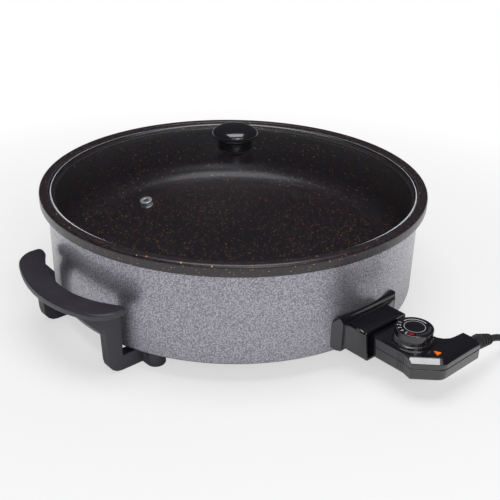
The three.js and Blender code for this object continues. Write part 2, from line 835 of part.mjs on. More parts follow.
// A leg with its arm and boss, on one side of the handle's middle
function handleLeg(sign) {
  const lowReach = legOuter - leg.taper;
  const toe = leg.toeRadius;
  const side = [
    ...points([bossX, legFoot]),
    ...arc(lowReach - toe, legFoot + toe, toe, -quarter, 0, cornerSteps),
    ...points(
      [legOuter, legTop],
      [legInner + leg.leanRun, legTop],
      [legInner, gripUnder - leg.leanDrop],
      [legInner, leg.armTop],
      [bossX, leg.armTop],
    ),
  ];
  const [low, high] = [sign * legInside, sign * legFace].sort((a, b) => a - b);
  const pillar = prismAlongY(side, low, high);
  const [near, far] = [sign * legInside, sign * bossY].sort((a, b) => a - b);
  const arm = box([bossX - boss.radius, near, legFoot], [bossX + boss.radius, far, leg.armTop]);
  const post = disc(boss.radius, legFoot, bossTop).translate(bossX, sign * bossY, 0);
  return [pillar, legFlare(sign), arm, post];
}

// One handle, as it lies on +X
function handle() {
  const recesses = [1, -1].flatMap((sign) =>
    [
      disc(pad.radius + gap, legFoot - overrun, padTop + gap),
      disc(handleScrew.headRadius + gap, legFoot, handleScrewFace + gap, facets.small),
      disc(handleScrew.shankRadius + gap, legFoot, bossTop + overrun, facets.tiny),
    ].map((tool) => tool.translate(bossX, sign * bossY, 0)),
  );
  return cut(join(gripSlab(), ...handleLeg(1), ...handleLeg(-1)), ...recesses);
}

function handleNut() {
  const bore = new THREE.Path(arc(0, 0, handleScrew.shankRadius + gap, 0, full, facets.tiny).slice(1));
  const shape = new THREE.Shape(arc(0, 0, nut.radius, 0, full, nut.sides).slice(1));
  shape.holes.push(bore);
  return new THREE.ExtrudeGeometry(shape, { depth: nut.height, bevelEnabled: false });
}

// The glass dome, with a flat seat under its edge and holes for the knob and the vent
function lidGlass() {
  const dome = (radius, ...reaches) => {
    const [start, end] = reaches.map((reach) => quarter - Math.asin(reach / radius));
    return arc(0, domeCentre, radius, start, end, lid.steps);
  };
  const inner = domeRadius - lid.thickness;
  const round = lid.edgeRound;
  const top = domeCentre + Math.sqrt(domeRadius ** 2 - (lidRadius - round) ** 2);
  const glass = turned([
    ...dome(inner, lid.bore, lidRadius - lid.seatWidth),
    ...points(
      [lidRadius - lid.seatWidth, lidUnder],
      [lidRadius - round, lidUnder],
      [lidRadius, lidUnder + round],
      [lidRadius, top - round],
    ),
    ...dome(domeRadius, lidRadius - round, lid.bore),
  ]);
  return cut(glass, atVent(disc(vent.hole, -overrun - lid.thickness, overrun, facets.small)));
}

// Carries a piece that stands at the origin to the vent, square to the glass
function atVent(geometry) {
  const azimuth = THREE.MathUtils.degToRad(vent.azimuth);
  const tilt = Math.asin(ventCircle / domeRadius);
  const height = domeCentre + domeRadius * Math.cos(tilt);
  return geometry
    .rotateY(tilt)
    .rotateZ(azimuth)
    .translate(ventCircle * Math.cos(azimuth), ventCircle * Math.sin(azimuth), height);
}

function ventGrommet() {
  const upper = domeGap;
  const lower = -lid.thickness - domeGap;
  const profile = points(
    [vent.bore, lower - vent.flange],
    [vent.flangeRadius, lower - vent.flange],
    [vent.flangeRadius, lower],
    [vent.tube, lower],
    [vent.tube, upper],
    [vent.flangeRadius, upper],
    [vent.flangeRadius, upper + vent.flange],
    [vent.bore, upper + vent.flange],
  );
  return atVent(turned(profile, facets.small));
}

function lidKnob() {
  const bore = knobScrew.shankRadius + gap;
  const capBottom = knobBottom + knob.neckHeight;
  const capTop = capBottom + knob.capHeight;
  const boreTop = knobBottom + knob.boreDepth;
  const body = turned(
    [
      ...points([0, knobBottom], [knob.neckRadius, knobBottom], [knob.neckRadius, capBottom]),
      ...arc(knob.capRadius - knob.underRound, capBottom + knob.underRound, knob.underRound, -quarter, 0, 2),
      ...arc(knob.capRadius - knob.capRound, capTop - knob.capRound, knob.capRound, 0, quarter, cornerSteps),
      ...points([0, capTop]),
    ],
    facets.medium,
  );
  return cut(body, disc(bore, knobBottom - overrun, boreTop, facets.tiny));
}

// The control's plan, drawn in by one inset at its sides and another along its front
function controlPlan(inset, frontInset = inset) {
  const side = controlSide - inset;
  const nose = out(control.noseOut) + inset;
  const neck = side - control.noseNarrower;
  const shoulder = out(control.shoulderOut) + inset;
  const slant = beyond(control.cornerBeyond) + controlSide;
  const round = control.frontRound;
  const turnFrom = beyond(control.armFrontBeyond) - round;
  const turnX = turnFrom - slant + round * Math.SQRT2;
  const filletX = controlSide + control.armFillet;
  const filletFrom = beyond(control.armRootBeyond) - control.armFillet;
  return [
    ...points(
      [neck, nose],
      [-neck, nose],
      [-neck, shoulder],
      [-side, shoulder],
      [-side, beyond(control.flareBeyond)],
      [-side - control.cornerFlare, slant - frontInset * Math.SQRT2 - side - control.cornerFlare],
    ),
    ...arc(turnX, turnFrom, round - frontInset, 3 * quarter * half, quarter),
    ...points(
      [armEnd - frontInset, beyond(control.armFrontBeyond) - frontInset],
      [armEnd - frontInset, beyond(control.armBackBeyond) + inset],
    ),
    ...arc(filletX, filletFrom, control.armFillet + inset, quarter, 2 * quarter, cornerSteps),
    ...points([side, shoulder], [neck, shoulder]),
  ].map(({ x, y }) => new THREE.Vector2(x, -y));
}

// Holes for the pins, the probe and the strain relief, which both halves share
function controlHoles() {
  const outside = out(control.noseOut) - overrun;
  const inside = contactFrom + overrun;
  const neckFrom = [armEnd - control.wall - overrun, -reliefFrom, terminal.height];
  const neckTo = [armEnd + overrun, -reliefFrom, terminal.height];
  return [
    barTowardsSocket(-element.leadOffset, outside, inside, terminal.radius + 2 * gap),
    barTowardsSocket(element.leadOffset, outside, inside, terminal.radius + 2 * gap),
    barTowardsSocket(0, outside, inside, probe.radius + gap),
    bar(neckFrom, neckTo, relief.neckRadius + gap),
  ];
}

// The hollow housing before it is split, and a block of space over all its plan. Its
// front has a deeper chamfer on top than its sides have.
function controlShell() {
  const { bevel, chamferRun, chamferDrop, wall } = control;
  const upTo = chamferRun * (1 - bevel / chamferDrop);
  const outer = stack(
    [controlPlan(bevel), controlPlan(0), controlPlan(0), controlPlan(0, upTo), controlPlan(bevel, chamferRun)],
    [controlBottom, controlBottom + bevel, controlTop - chamferDrop, controlTop - bevel, controlTop],
  );
  const inner = stack(
    [controlPlan(wall), controlPlan(wall), controlPlan(wall, wall + chamferRun)],
    [controlBottom + wall, controlTop - 2 * wall, controlTop - wall],
  );
  const ribs = Array.from({ length: sideRib.count }, (_, i) => {
    const from = beyond(sideRib.beyond) + sideRib.pitch * i;
    const low = [-controlSide - sideRib.proud, -from - sideRib.width, controlBottom + sideRib.short];
    return box(low, [-controlSide + wall * half, -from, controlTop - sideRib.short]);
  });
  return cut(join(outer, ...ribs), inner);
}

function controlSpan(low, high) {
  const front = -beyond(control.armFrontBeyond) - overrun;
  const side = controlSide + control.cornerFlare + overrun;
  return box([-side, front, low], [armEnd + overrun, -out(0), high]);
}

function controlLower() {
  const shell = cut(controlShell(), controlSpan(splitLow, controlTop + overrun));
  const floor = controlBottom + control.wall * half;
  const bosses = controlScrewPlaces.map(([x, y]) =>
    bar([x, y, floor], [x, y, splitLow], controlScrew.bossRadius, facets.small),
  );
  const under = controlBottom - overrun;
  const [headBore, shankBore] = [controlScrew.headRadius + gap, controlScrew.shankRadius + gap];
  const heads = uprightHoles(controlScrewPlaces, headBore, under, controlScrewFace + gap);
  const shanks = uprightHoles(controlScrewPlaces, shankBore, under, splitHigh);
  return cut(join(shell, ...bosses), ...heads, ...shanks, ...controlHoles());
}

// A wedge that points at the dial, grown by a margin to cut its own pocket
function lensOutline(margin) {
  const base = lensFrom + lens.length + margin;
  const reach = lens.width * half + margin;
  const tip = lensFrom - (margin * lens.length) / lens.width;
  return points([lens.x, -tip], [lens.x - reach, -base], [lens.x + reach, -base]);
}

function controlUpper() {
  const shell = cut(controlShell(), controlSpan(controlBottom - overrun, splitHigh));
  const roof = controlTop - control.wall * half;
  const bosses = controlScrewPlaces.map(([x, y]) =>
    bar([x, y, splitHigh], [x, y, roof], controlScrew.bossRadius, facets.small),
  );
  const collar = ring(ringRadius - dial.ringWidth, ringRadius, roof, controlTop + dial.ringHeight);
  const side = controlSide + control.cornerFlare + overrun;
  const step = box(
    [-side, -out(control.noseStepOut), controlTop - control.noseStep],
    [side, -out(0), controlTop + overrun],
  );
  const spindleHole = disc(dial.spindleRadius + gap, switchBottom, controlTop + overrun, facets.small);
  const tip = controlScrewFace + controlScrew.shankLength + gap;
  return cut(
    join(shell, ...bosses, collar.translate(0, -dialFrom, 0)),
    step,
    prism(lensOutline(gap), controlTop - lens.depth - gap, controlTop + overrun),
    spindleHole.translate(0, -dialFrom, 0),
    ...uprightHoles(controlScrewPlaces, controlScrew.shankRadius + gap, splitLow, tip),
    ...controlHoles(),
  );
}

function dialKnob() {
  const top = dialBottom + dial.height;
  const bore = dial.spindleRadius + gap;
  const skirtTop = dialBottom + dial.skirtHeight;
  return turned(
    [
      ...points(
        [0, spindleTop + gap],
        [bore, spindleTop + gap],
        [bore, dialBottom],
        [skirtRadius, dialBottom],
        [skirtRadius, skirtTop - dial.skirt],
        [dial.radius, skirtTop],
      ),
      ...arc(dial.radius - dial.round, top - dial.round, dial.round, 0, quarter),
      ...points([0, top]),
    ],
    facets.medium,
  );
}

// The place at a distance along the sleeve's drooping axis, and a height above it
function onSleeve(distance, above) {
  const bend = THREE.MathUtils.clamp(distance, 0, relief.bendLength);
  const angle = (relief.droop * bend) / relief.bendLength;
  const bendRadius = relief.bendLength / relief.droop;
  const rest = distance - bend;
  return {
    x: armEnd + gap + (bendRadius + above) * Math.sin(angle) + rest * Math.cos(angle),
    z: terminal.height - bendRadius + (bendRadius + above) * Math.cos(angle) - rest * Math.sin(angle),
  };
}

// The ribbed sleeve on the cord. Its collar is held inside the control's arm.
function strainRelief() {
  const wallInside = armEnd - control.wall - gap;
  const start = armEnd + gap;
  const ribbed = relief.length - relief.sleeveLength;
  const taper = (share) => relief.rootRadius + (relief.tipRadius - relief.rootRadius) * share;
  const along = (share) => start + relief.sleeveLength + ribbed * share;
  const ribs = Array.from({ length: relief.ribs }, (_, i) => {
    const [from, to, next] = [i, i + half, i + 1].map((place) => place / relief.ribs);
    return [
      [taper(from) + relief.ribRise, along(from)],
      [taper(to) + relief.ribRise, along(to)],
      [taper(to), along(to)],
      [taper(next), along(next)],
    ];
  }).flat();
  const profile = points(
    [0, wallInside - relief.collarLength],
    [relief.collarRadius, wallInside - relief.collarLength],
    [relief.collarRadius, wallInside],
    [relief.neckRadius, wallInside],
    [relief.neckRadius, start],
    [relief.sleeveRadius, start],
    [relief.sleeveRadius, start + relief.bendLength * half],
    [relief.sleeveRadius, start + relief.bendLength],
    ...ribs,
    [0, along(1)],
  );
  const sleeve = turned(profile, facets.small).rotateY(quarter);
  const corners = sleeve.getAttribute('position');
  for (let i = 0; i < corners.count; i += 1) {
    const { x, z } = onSleeve(corners.getX(i) - start, corners.getZ(i));
    corners.setX(i, x);
    corners.setZ(i, z);
  }
  return sleeve.translate(0, -reliefFrom, 0);
}

// The coil winds in on the lower layer, climbs while its radius turns back, and winds
// out on the upper one. Its ends run straight, square to the stretches they meet.
function coilPath() {
  const steps = coil.turns * coil.stepsPerTurn;
  const middle = coil.turns / 2;
  const wound = Array.from({ length: steps + 1 }, (_, i) => {
    const turn = i / coil.stepsPerTurn;
    const radius = coil.inner + coil.pitch * Math.abs(turn - middle);
    const climb = THREE.MathUtils.clamp((turn - middle) / coil.climbTurns + half, 0, 1);
    const angle = quarter - full * turn;
    const height = coilHeight + (coil.pitch * (1 - Math.cos(climb * Math.PI))) / 2;
    return new THREE.Vector3(coil.x + radius * Math.cos(angle), coilY + radius * Math.sin(angle), height);
  });
  const back = new THREE.Vector3(-coil.end, 0, 0);
  const first = wound[0].clone().add(back);
  const last = wound[steps].clone().add(back);
  return [first, ...wound, last];
}

// Rings of corners along a path, each square to it
function ringsAlong(path, radius, sides) {
  const up = new THREE.Vector3(0, 0, 1);
  return path.map((centre, i) => {
    const before = path[Math.max(i - 1, 0)];
    const after = path[Math.min(i + 1, path.length - 1)];
    const along = after.clone().sub(before).normalize();
    const across = along.clone().cross(up).normalize();
    const above = across.clone().cross(along);
    return Array.from({ length: sides }, (_, k) => {
      const angle = (full * k) / sides;
      return centre
        .clone()
        .addScaledVector(across, radius * Math.cos(angle))
        .addScaledVector(above, radius * Math.sin(angle));
    });
  });
}

function leastGap(rings, apart) {
  let least = Infinity;
  rings.forEach((one, i) =>
    rings.slice(i + apart).forEach((other) =>
      one.forEach((corner) =>
        other.forEach((facing) => {
          least = Math.min(least, corner.distanceTo(facing));
        }),
      ),
    ),
  );
  return least;
}

function tubeOf(rings) {
  const sides = rings[0].length;
  const positions = rings.flat().flatMap((corner) => corner.toArray());
  const index = [];
  for (let i = 0; i < rings.length - 1; i += 1) {
    for (let k = 0; k < sides; k += 1) {
      const next = (k + 1) % sides;
      const [a, b] = [i * sides + k, i * sides + next];
      const [c, d] = [a + sides, b + sides];
      index.push(a, d, b, a, c, d);
    }
  }
  const last = (rings.length - 1) * sides;
  for (let k = 1; k < sides - 1; k += 1) {
    index.push(0, k, k + 1, last, last + k + 1, last + k);
  }
  const geometry = new THREE.BufferGeometry();
  geometry.setAttribute('position', new THREE.Float32BufferAttribute(positions, 3));
  geometry.setIndex(index);
  return geometry;
}

function cordCoil() {
  const rings = ringsAlong(coilPath(), cord.radius, coil.sides);
  console.log(`cord_coil: least gap to itself ${leastGap(rings, coil.stepsPerTurn / 2).toFixed(2)} mm`);
  return tubeOf(rings);
}

// A strap round the four strands on the coil's right side
function cordTie() {
  const turnsIn = coil.turns / 2;
  const strandFrom = coil.inner + coil.pitch * (turnsIn - 1.25);
  const middleX = coil.x + strandFrom + coil.pitch * half;
  const middleZ = coilHeight + coil.pitch * half;
  const reach = coil.pitch * half + cord.radius + tie.slack;
  const inner = roundedRectangle(-reach, reach, -reach, reach, cord.radius);
  const far = reach + tie.thickness;
  const outer = roundedRectangle(-far, far, -far, far, cord.radius + tie.thickness);
  const side = tie.width * half;
  const band = cut(prismAlongY(outer, -side, side), prismAlongY(inner, -side - overrun, side + overrun));
  return band.translate(middleX, coilY, middleZ);
}

const tailY = coilY - coilOuter;
const tailEnd = tailRoute[tailRoute.length - 1];
const plugFace = tailEnd[0] - gap - plug.neckLength - plug.length;

function plugPin(side) {
  const x = plugFace + plug.pinRoot;
  const y = tailY + side * plug.pinOffset;
  return bar([x, y, tailEnd[1]], [plugFace - plug.pinLength, y, tailEnd[1]], plug.pinRadius);
}

function plugBody() {
  const round = plug.round;
  const neckEnd = plug.length + plug.neckLength;
  const body = turned(
    [
      ...points([0, 0], [plug.radius, 0]),
      ...arc(plug.radius - round, plug.length - round, round, 0, quarter, 2),
      ...points([plug.neckRadius, plug.length], [cord.radius + 2 * gap, neckEnd], [0, neckEnd]),
    ],
    facets.medium,
  );
  body.rotateY(quarter).translate(plugFace, tailY, tailEnd[1]);
  const holes = [-1, 1].map((side) => {
    const y = tailY + side * plug.pinOffset;
    const bottom = plugFace + plug.pinRoot + gap;
    return bar([bottom, y, tailEnd[1]], [plugFace - overrun, y, tailEnd[1]], plug.pinRadius + gap);
  });
  return cut(body, ...holes);
}

// The pan and what is under it
add('inner_pan', innerPan(), 'nonStick');
add('outer_jacket', outerJacket(), 'hammertone');
add('base_plate', bottomPlate(), 'zincSteel');
add('heat_reflector', heatReflector(), 'zincSteel');
baseScrewPlaces.forEach(([x, y], i) => {
  const length = studBottom + baseScrew.hold - baseScrewFace;
  add(`base_screw_${i + 1}`, screw(baseScrew, length), 'zincSteel', [x, y, baseScrewFace]);
});
add('heating_element', heatingElement(), 'steel');
for (let i = 0; i < clip.count; i += 1) {
  const angle = quarter + (full * i) / clip.count;
  const loop = out(element.loopOut);
  const place = [loop * Math.cos(angle), loop * Math.sin(angle), 0];
  add(`element_clip_${i + 1}`, elementClip(), 'zincSteel', place).rotation.z = angle;
}
add('probe_guide', probeGuide(), 'nonStick');

// The socket, with its terminals and screws on the left and right
const sides = Object.entries({ left: -1, right: 1 });
add('socket_housing', socketHousing(), 'glossPlastic');
for (const [side, sign] of sides) {
  const x = sign * element.leadOffset;
  const pin = barTowardsSocket(x, out(terminal.rootOut), out(terminal.tipOut), terminal.radius);
  const place = [sign * socketScrewX, -out(socketScrew.headOut), socketScrewZ];
  add(`terminal_pin_${side}`, pin, 'brass');
  add(`terminal_bush_${side}`, terminalBush(x), 'ceramic');
  const length = socketScrewTip - socketScrew.headOut;
  add(`socket_screw_${side}`, screw(socketScrew, length), 'zincSteel', place).rotation.x = quarter;
}

// The handles, with their feet and fasteners
add('handle_right', handle(), 'satinPlastic');
add('handle_left', handle(), 'satinPlastic').rotation.z = 2 * quarter;
footPlaces.forEach(([x, y], i) => {
  const length = nutTop + handleScrew.proud - handleScrewFace;
  add(`foot_pad_${i + 1}`, disc(pad.radius, 0, pad.thickness), 'rubber', [x, y, -footDrop]);
  add(`handle_screw_${i + 1}`, screw(handleScrew, length), 'zincSteel', [x, y, handleScrewFace]);
  add(`handle_nut_${i + 1}`, handleNut(), 'zincSteel', [x, y, flangeTop + gap]);
});

// The lid
const screwBore = knobScrew.shankRadius + gap;
const knobScrewFace = washerBottom - gap;
const knobScrewLength = knobBottom + knob.boreDepth - knobScrew.tipClearance - knobScrewFace;
add('lid_glass', lidGlass(), 'glass');
add('vent_grommet', ventGrommet(), 'steel');
add('knob_gasket', ring(screwBore, gasket.radius, gasketBottom, gasketBottom + gasket.thickness), 'rubber');
add('lid_knob', lidKnob(), 'glossPlastic');
add('knob_washer', ring(screwBore, knobWasher.radius, washerBottom, washerTop, facets.small), 'steel');
add('knob_screw', screw(knobScrew, knobScrewLength), 'steel', [0, 0, knobScrewFace]);

// The control
add('control_bottom', controlLower(), 'glossPlastic');
add('control_top', controlUpper(), 'glossPlastic');
controlScrewPlaces.forEach(([x, y], i) => {
  const piece = screw(controlScrew, controlScrew.shankLength);
  add(`control_screw_${i + 1}`, piece, 'zincSteel', [x, y, controlScrewFace]);
});
for (const [side, sign] of sides) {
  const x = sign * element.leadOffset;
  const [from, to] = [contactFrom, out(contact.toOut)];
  const sleeve = barTowardsSocket(x, from, to, contact.radius);
  const bore = barTowardsSocket(x, from - overrun, to + overrun, terminal.radius + gap);
  add(`contact_sleeve_${side}`, cut(sleeve, bore), 'brass');
}
const switchLow = [-switchSide, -dialFrom - switchBlock.pastDial, switchBottom];
const switchHigh = [switchSide, -out(contact.toOut) - gap, switchTop];
const probeTip = out(guide.innerOut) + probe.setback;
const onDial = [0, -dialFrom, 0];
const spindle = disc(dial.spindleRadius, spindleBottom, spindleTop, facets.small);
add('thermostat_switch', box(switchLow, switchHigh), 'ceramic');
add('probe_rod', barTowardsSocket(0, probeTip, out(contact.toOut), probe.radius), 'steel');
add('pilot_lens', prism(lensOutline(0), controlTop - lens.depth, controlTop + lens.proud), 'amber');
add('dial_knob', dialKnob(), 'glossPlastic', onDial);
add('dial_spindle', spindle, 'brass', onDial);
add('strain_relief', strainRelief(), 'rubber');

// The cord and its plug
const leadStart = [relief.length + gap, relief.length + gap + cord.straight].map((distance) => {
  const { x, z } = onSleeve(distance, 0);
  return [x, z];
});
const lead = [...leadStart, ...leadRoute].map(([x, z]) => [x, -reliefFrom, z]);
const tail = tailRoute.map(([x, z]) => [x, tailY, z]);
add('cord_lead', sweep(lead, cord.radius, cord.sides, cord.leadSteps), 'rubber');
add('cord_coil', cordCoil(), 'rubber');
add('cord_tail', sweep(tail, cord.radius, cord.sides, cord.tailSteps), 'rubber');
add('cord_tie', cordTie(), 'rubber');
add('plug_body', plugBody(), 'rubber');
add('plug_pin_1', plugPin(1), 'brass');
add('plug_pin_2', plugPin(-1), 'brass');

export default whole;
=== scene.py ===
"""Looks for a round electric pan with a lift-off glass lid and a plug-in control.

Lengths are in metres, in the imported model's frame: the pan's axis is Z, the handles
lie along X, and the socket with its control faces -Y.
"""

import math
from types import SimpleNamespace as Sizes

import bmesh
import bpy
from mathutils import Matrix, Vector


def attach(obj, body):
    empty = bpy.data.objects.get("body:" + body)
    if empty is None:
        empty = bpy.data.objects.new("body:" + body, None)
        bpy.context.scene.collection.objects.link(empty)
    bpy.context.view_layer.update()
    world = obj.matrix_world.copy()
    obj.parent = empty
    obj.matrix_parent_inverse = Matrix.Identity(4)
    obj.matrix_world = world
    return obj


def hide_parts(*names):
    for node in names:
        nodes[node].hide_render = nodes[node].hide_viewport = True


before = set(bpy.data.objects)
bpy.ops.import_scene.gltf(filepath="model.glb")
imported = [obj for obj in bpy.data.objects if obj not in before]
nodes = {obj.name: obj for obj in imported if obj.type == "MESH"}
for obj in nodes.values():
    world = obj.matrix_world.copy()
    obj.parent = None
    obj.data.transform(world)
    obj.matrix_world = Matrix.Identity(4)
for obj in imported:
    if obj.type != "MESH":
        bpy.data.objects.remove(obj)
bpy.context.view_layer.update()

TABLE_HEIGHT = -0.020
QUARTER = math.pi / 2
FULL = math.tau

# Camera, solved from the photograph
CAMERA_PLACE = Vector((-0.5394, -0.6228, 0.4361))
CAMERA_HEADING = math.radians(47.78)
CAMERA_PITCH = math.radians(26.694)
CAMERA_ROLL = math.radians(-1.369)
CAMERA_LENS = 57.6
CAMERA_SENSOR = 36.0

# Sizes of the pieces that the scene makes anew
PAN = Sizes(
    rim_top=0.1115,
    rim_radius=0.210,
    rim_width=0.0097,
    rim_round=0.0034,
    lip_round=0.0016,
    lip_thickness=0.003,
    band_height=0.0121,
    band_wall=0.0026,
    ledge_depth=0.0076,
    cavity_radius=0.1935,
    depth=0.075,
    corner_radius=0.026,
    wall=0.0025,
    floor=0.003,
    edge_round=0.001,
)
STUD = Sizes(radius=0.0045, round=0.0006, bottom=0.0125, top=0.0345, reach=0.1039)
JACKET = Sizes(
    radius=0.202,
    wall=0.001,
    corner_radius=0.004,
    flange_bore=0.140,
    bottom=0.0013,
    top=0.1011,
    window=((-0.022, -0.21, 0.008), (0.022, -0.139, 0.025)),
)
LID = Sizes(
    radius=0.1988,
    under=0.1042,
    thickness=0.004,
    rise=0.0363,
    edge_round=0.0014,
    edge_skin=0.0001,
    skin_start=-0.1,
    seat=0.003,
    bore=0.004,
)
VENT = Sizes(
    inset=0.0618,
    turn=math.radians(190.5),
    hole=0.0045,
    tube=0.0042,
    bore=0.0025,
    flange_radius=0.006,
    flange=0.0008,
    gap=0.0003,
    round=0.0004,
)
KNOB = Sizes(
    bottom=0.1466,
    neck_radius=0.0183,
    neck_height=0.0105,
    cap_radius=0.0243,
    cap_height=0.0143,
    cap_under=0.0212,
    cap_skirt=0.0042,
    cap_fullness=2.15,
    under_round=0.0016,
    neck_round=0.0008,
)
DIAL = Sizes(
    x=0.0,
    y=-0.2582,
    radius=0.018,
    skirt=0.019,
    skirt_height=0.0022,
    skirt_chamfer=0.0008,
    bottom=0.0289,
    height=0.0138,
    round=0.0012,
    band_foot=0.0002,
    band_height=0.0062,
    band_lip=0.0003,
    ridges=72,
    ridge_points=4,
    ridge_depth=0.0006,
    ridge_margin=0.0001,
    bore=0.0033,
    bore_depth=0.0072,
)

# The dial's marks. Turns are in degrees, from +X towards +Y.
MARKS = Sizes(
    thickness=0.00006,
    sunk=0.00002,
    ring_radius=0.0099,
    ring_width=0.0007,
    numeral_size=0.0052,
    numeral_radius=0.0143,
    arc_radius=0.0131,
    arc_width=0.0008,
    tick_inner=0.0128,
    tick_outer=0.0152,
    tick_width_turn=2.4,
    red_turns=(196, 214),
    arc_turns=(-16, 88),
)
NUMERAL_TURNS = {"5": 186, "4": 167, "3": 147, "2": 127, "1": 107}
TICK_TURNS = range(226, 320, 8)

# The cord. Its routes are given as places along X and Z.
CORD_RADIUS = 0.0035
CORD_Y = -0.2885
LEAD_ROUTE = [
    (0.08565, 0.00883),
    (0.09193, 0.00716),
    (0.0995, 0.0047),
    (0.1070, 0.0012),
    (0.1150, -0.0031),
    (0.1220, -0.0072),
    (0.1280, -0.0107),
    (0.1326, -0.0131),
    (0.1360, -0.0145),
    (0.1388, -0.0150),
    (0.1415, -0.0150),
]
TAIL_ROUTE = [
    (0.1415, -0.0074),
    (0.1340, -0.0073),
    (0.1240, -0.0061),
    (0.1120, -0.0036),
    (0.1010, -0.0018),
    (0.0920, -0.0015),
]
COIL = Sizes(
    x=0.1488,
    inner=0.031,
    pitch=0.0076,
    turns=3.5,
    climb_turns=0.5,
    height=-0.015,
    steps=24,
)

# How far the moulded pieces' edges are rounded. Angles are in degrees.
ROUNDING = Sizes(
    handle=0.0012,
    socket=0.0008,
    control=0.0006,
    lens=0.00025,
    segments=3,
    weld=0.00001,
    flat_angle=1,
    sharp_angle=28,
    reach_share=0.45,
)

# The angles in degrees above which an edge stays sharp
SHARP = Sizes(plain=35, ring=50, mark=20)

# How many parts round forms are made of: steps in arcs and curves, segments in full turns
STEPS = Sizes(
    crease=3,
    edge=4,
    dial_edge=5,
    arc=6,
    bead=8,
    bend=10,
    base=12,
    fillet=14,
    knob_cap=24,
    dome=28,
    red_mark=6,
    mark=24,
    numeral=4,
    cord_side=6,
    cord_length=4,
)
SEGMENTS = Sizes(pan=192, knob=96, vent=64, vent_hole=48, stud=32)


def new_object(name, data):
    """Puts new data into the scene as an object."""
    made = bpy.data.objects.new(name, data)
    bpy.context.scene.collection.objects.link(made)
    return made


# Camera

heading = Vector((math.cos(CAMERA_HEADING), math.sin(CAMERA_HEADING), 0))
level_right = Vector((heading.y, -heading.x, 0))
up = Vector((0, 0, 1))
forward = heading * math.cos(CAMERA_PITCH) - up * math.sin(CAMERA_PITCH)
level_down = -(up * math.cos(CAMERA_PITCH) + heading * math.sin(CAMERA_PITCH))
right = level_right * math.cos(CAMERA_ROLL) + level_down * math.sin(CAMERA_ROLL)
down = level_down * math.cos(CAMERA_ROLL) - level_right * math.sin(CAMERA_ROLL)
camera_turn = Matrix((right, -down, -forward)).transposed().to_4x4()

camera_data = bpy.data.cameras.new("camera")
camera_data.lens = CAMERA_LENS
camera_data.sensor_width = CAMERA_SENSOR
camera = new_object("camera", camera_data)
camera.matrix_world = Matrix.Translation(CAMERA_PLACE) @ camera_turn
bpy.context.scene.camera = camera


# Mesh helpers


def link(name, data, body):
    """Puts new data into the scene as a piece that rides on a body."""
    piece = new_object(name, data)
    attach(piece, body)
    return piece


def shade(mesh, sharp_angle=SHARP.plain):
    """Smooths a mesh, and keeps edges sharper than the angle in degrees."""
    mesh.shade_smooth()
    mesh.set_sharp_from_angle(angle=math.radians(sharp_angle))


def mesh_of(name, vertices, faces, sharp_angle=SHARP.plain):
    """A mesh from its vertices and faces, checked and shaded."""
    mesh = bpy.data.meshes.new(name)
    mesh.from_pydata(vertices, [], faces)
    mesh.validate()
    shade(mesh, sharp_angle)
    return mesh


def arc(x, z, radius, start, end, steps=STEPS.arc):
    """Points of an arc in a profile, from one angle to another."""
    turns = [start + (end - start) * i / steps for i in range(steps + 1)]
    return [(x + radius * math.cos(turn), z + radius * math.sin(turn)) for turn in turns]


def lathe(profile, segments=SEGMENTS.pan, radius_at=None):
    """Vertices and faces of a profile turned round Z. Its ends meet, or lie on the axis."""
    vertices = []
    rows = []
    for x, z in profile:
        if x == 0:
            rows.append([len(vertices)] * segments)
            vertices.append((0, 0, z))
            continue
        rows.append(list(range(len(vertices), len(vertices) + segments)))
        for i in range(segments):
            turn = FULL * i / segments
            reach = radius_at(x, z, i) if radius_at else x
            vertices.append((reach * math.cos(turn), reach * math.sin(turn), z))
    pairs = list(zip(rows, rows[1:]))
    if profile[0][0] > 0:
        pairs.append((rows[-1], rows[0]))
    faces = []
    for low, high in pairs:
        for i in range(segments):
            j = (i + 1) % segments
            corners = [low[i], low[j], high[j], high[i]]
            face = list(dict.fromkeys(corners))
            if len(face) > 2:
                faces.append(face)
    return vertices, faces


def moved(shape, place):
    """A shape's vertices and faces, moved to a place."""
    vertices, faces = shape
    return [tuple(a + b for a, b in zip(vertex, place)) for vertex in vertices], faces


def joined(*shapes):
    """One list of vertices and one of faces, from several shapes."""
    vertices = []
    faces = []
    for some, around in shapes:
        start = len(vertices)
        vertices += some
        faces += [[start + i for i in face] for face in around]
    return vertices, faces


def turned(name, profile, body, segments=SEGMENTS.pan, sharp_angle=SHARP.plain):
    """A piece turned round the pan's axis."""
    vertices, faces = lathe(profile, segments)
    return link(name, mesh_of(name, vertices, faces, sharp_angle), body)


def apply_modifiers(piece):
    """Turns a piece's modifiers into its own mesh."""
    graph = bpy.context.evaluated_depsgraph_get()
    made = bpy.data.meshes.new_from_object(piece.evaluated_get(graph))
    piece.modifiers.clear()
    piece.data = made


def cut(piece, cutter_mesh):
    """Cuts a closed mesh out of a piece."""
    cutter = new_object("cutter", cutter_mesh)
    change = piece.modifiers.new("cut", "BOOLEAN")
    change.operation = "DIFFERENCE"
    change.solver = "EXACT"
    change.object = cutter
    apply_modifiers(piece)
    bpy.data.objects.remove(cutter)
    shade(piece.data)


def block(low, high):
    """A box between two corners, as a mesh."""
    heights = (low[2], high[2])
    depths = (low[1], high[1])
    widths = (low[0], high[0])
    corners = [(x, y, z) for z in heights for y in depths for x in widths]
    upright = [(0, 1, 5, 4), (2, 6, 7, 3), (0, 4, 6, 2), (1, 3, 7, 5)]
    return mesh_of("block", corners, [(0, 2, 3, 1), (4, 5, 7, 6), *upright])


def room_for_rounding(edge):
    """How far a rounding may reach from an edge before it meets the next edge of its faces."""
    beside = [other for face in edge.link_faces for other in face.edges if other is not edge]
    touching = [other for other in beside if set(other.verts) & set(edge.verts)]
    return ROUNDING.reach_share * min(other.calc_length() for other in touching)


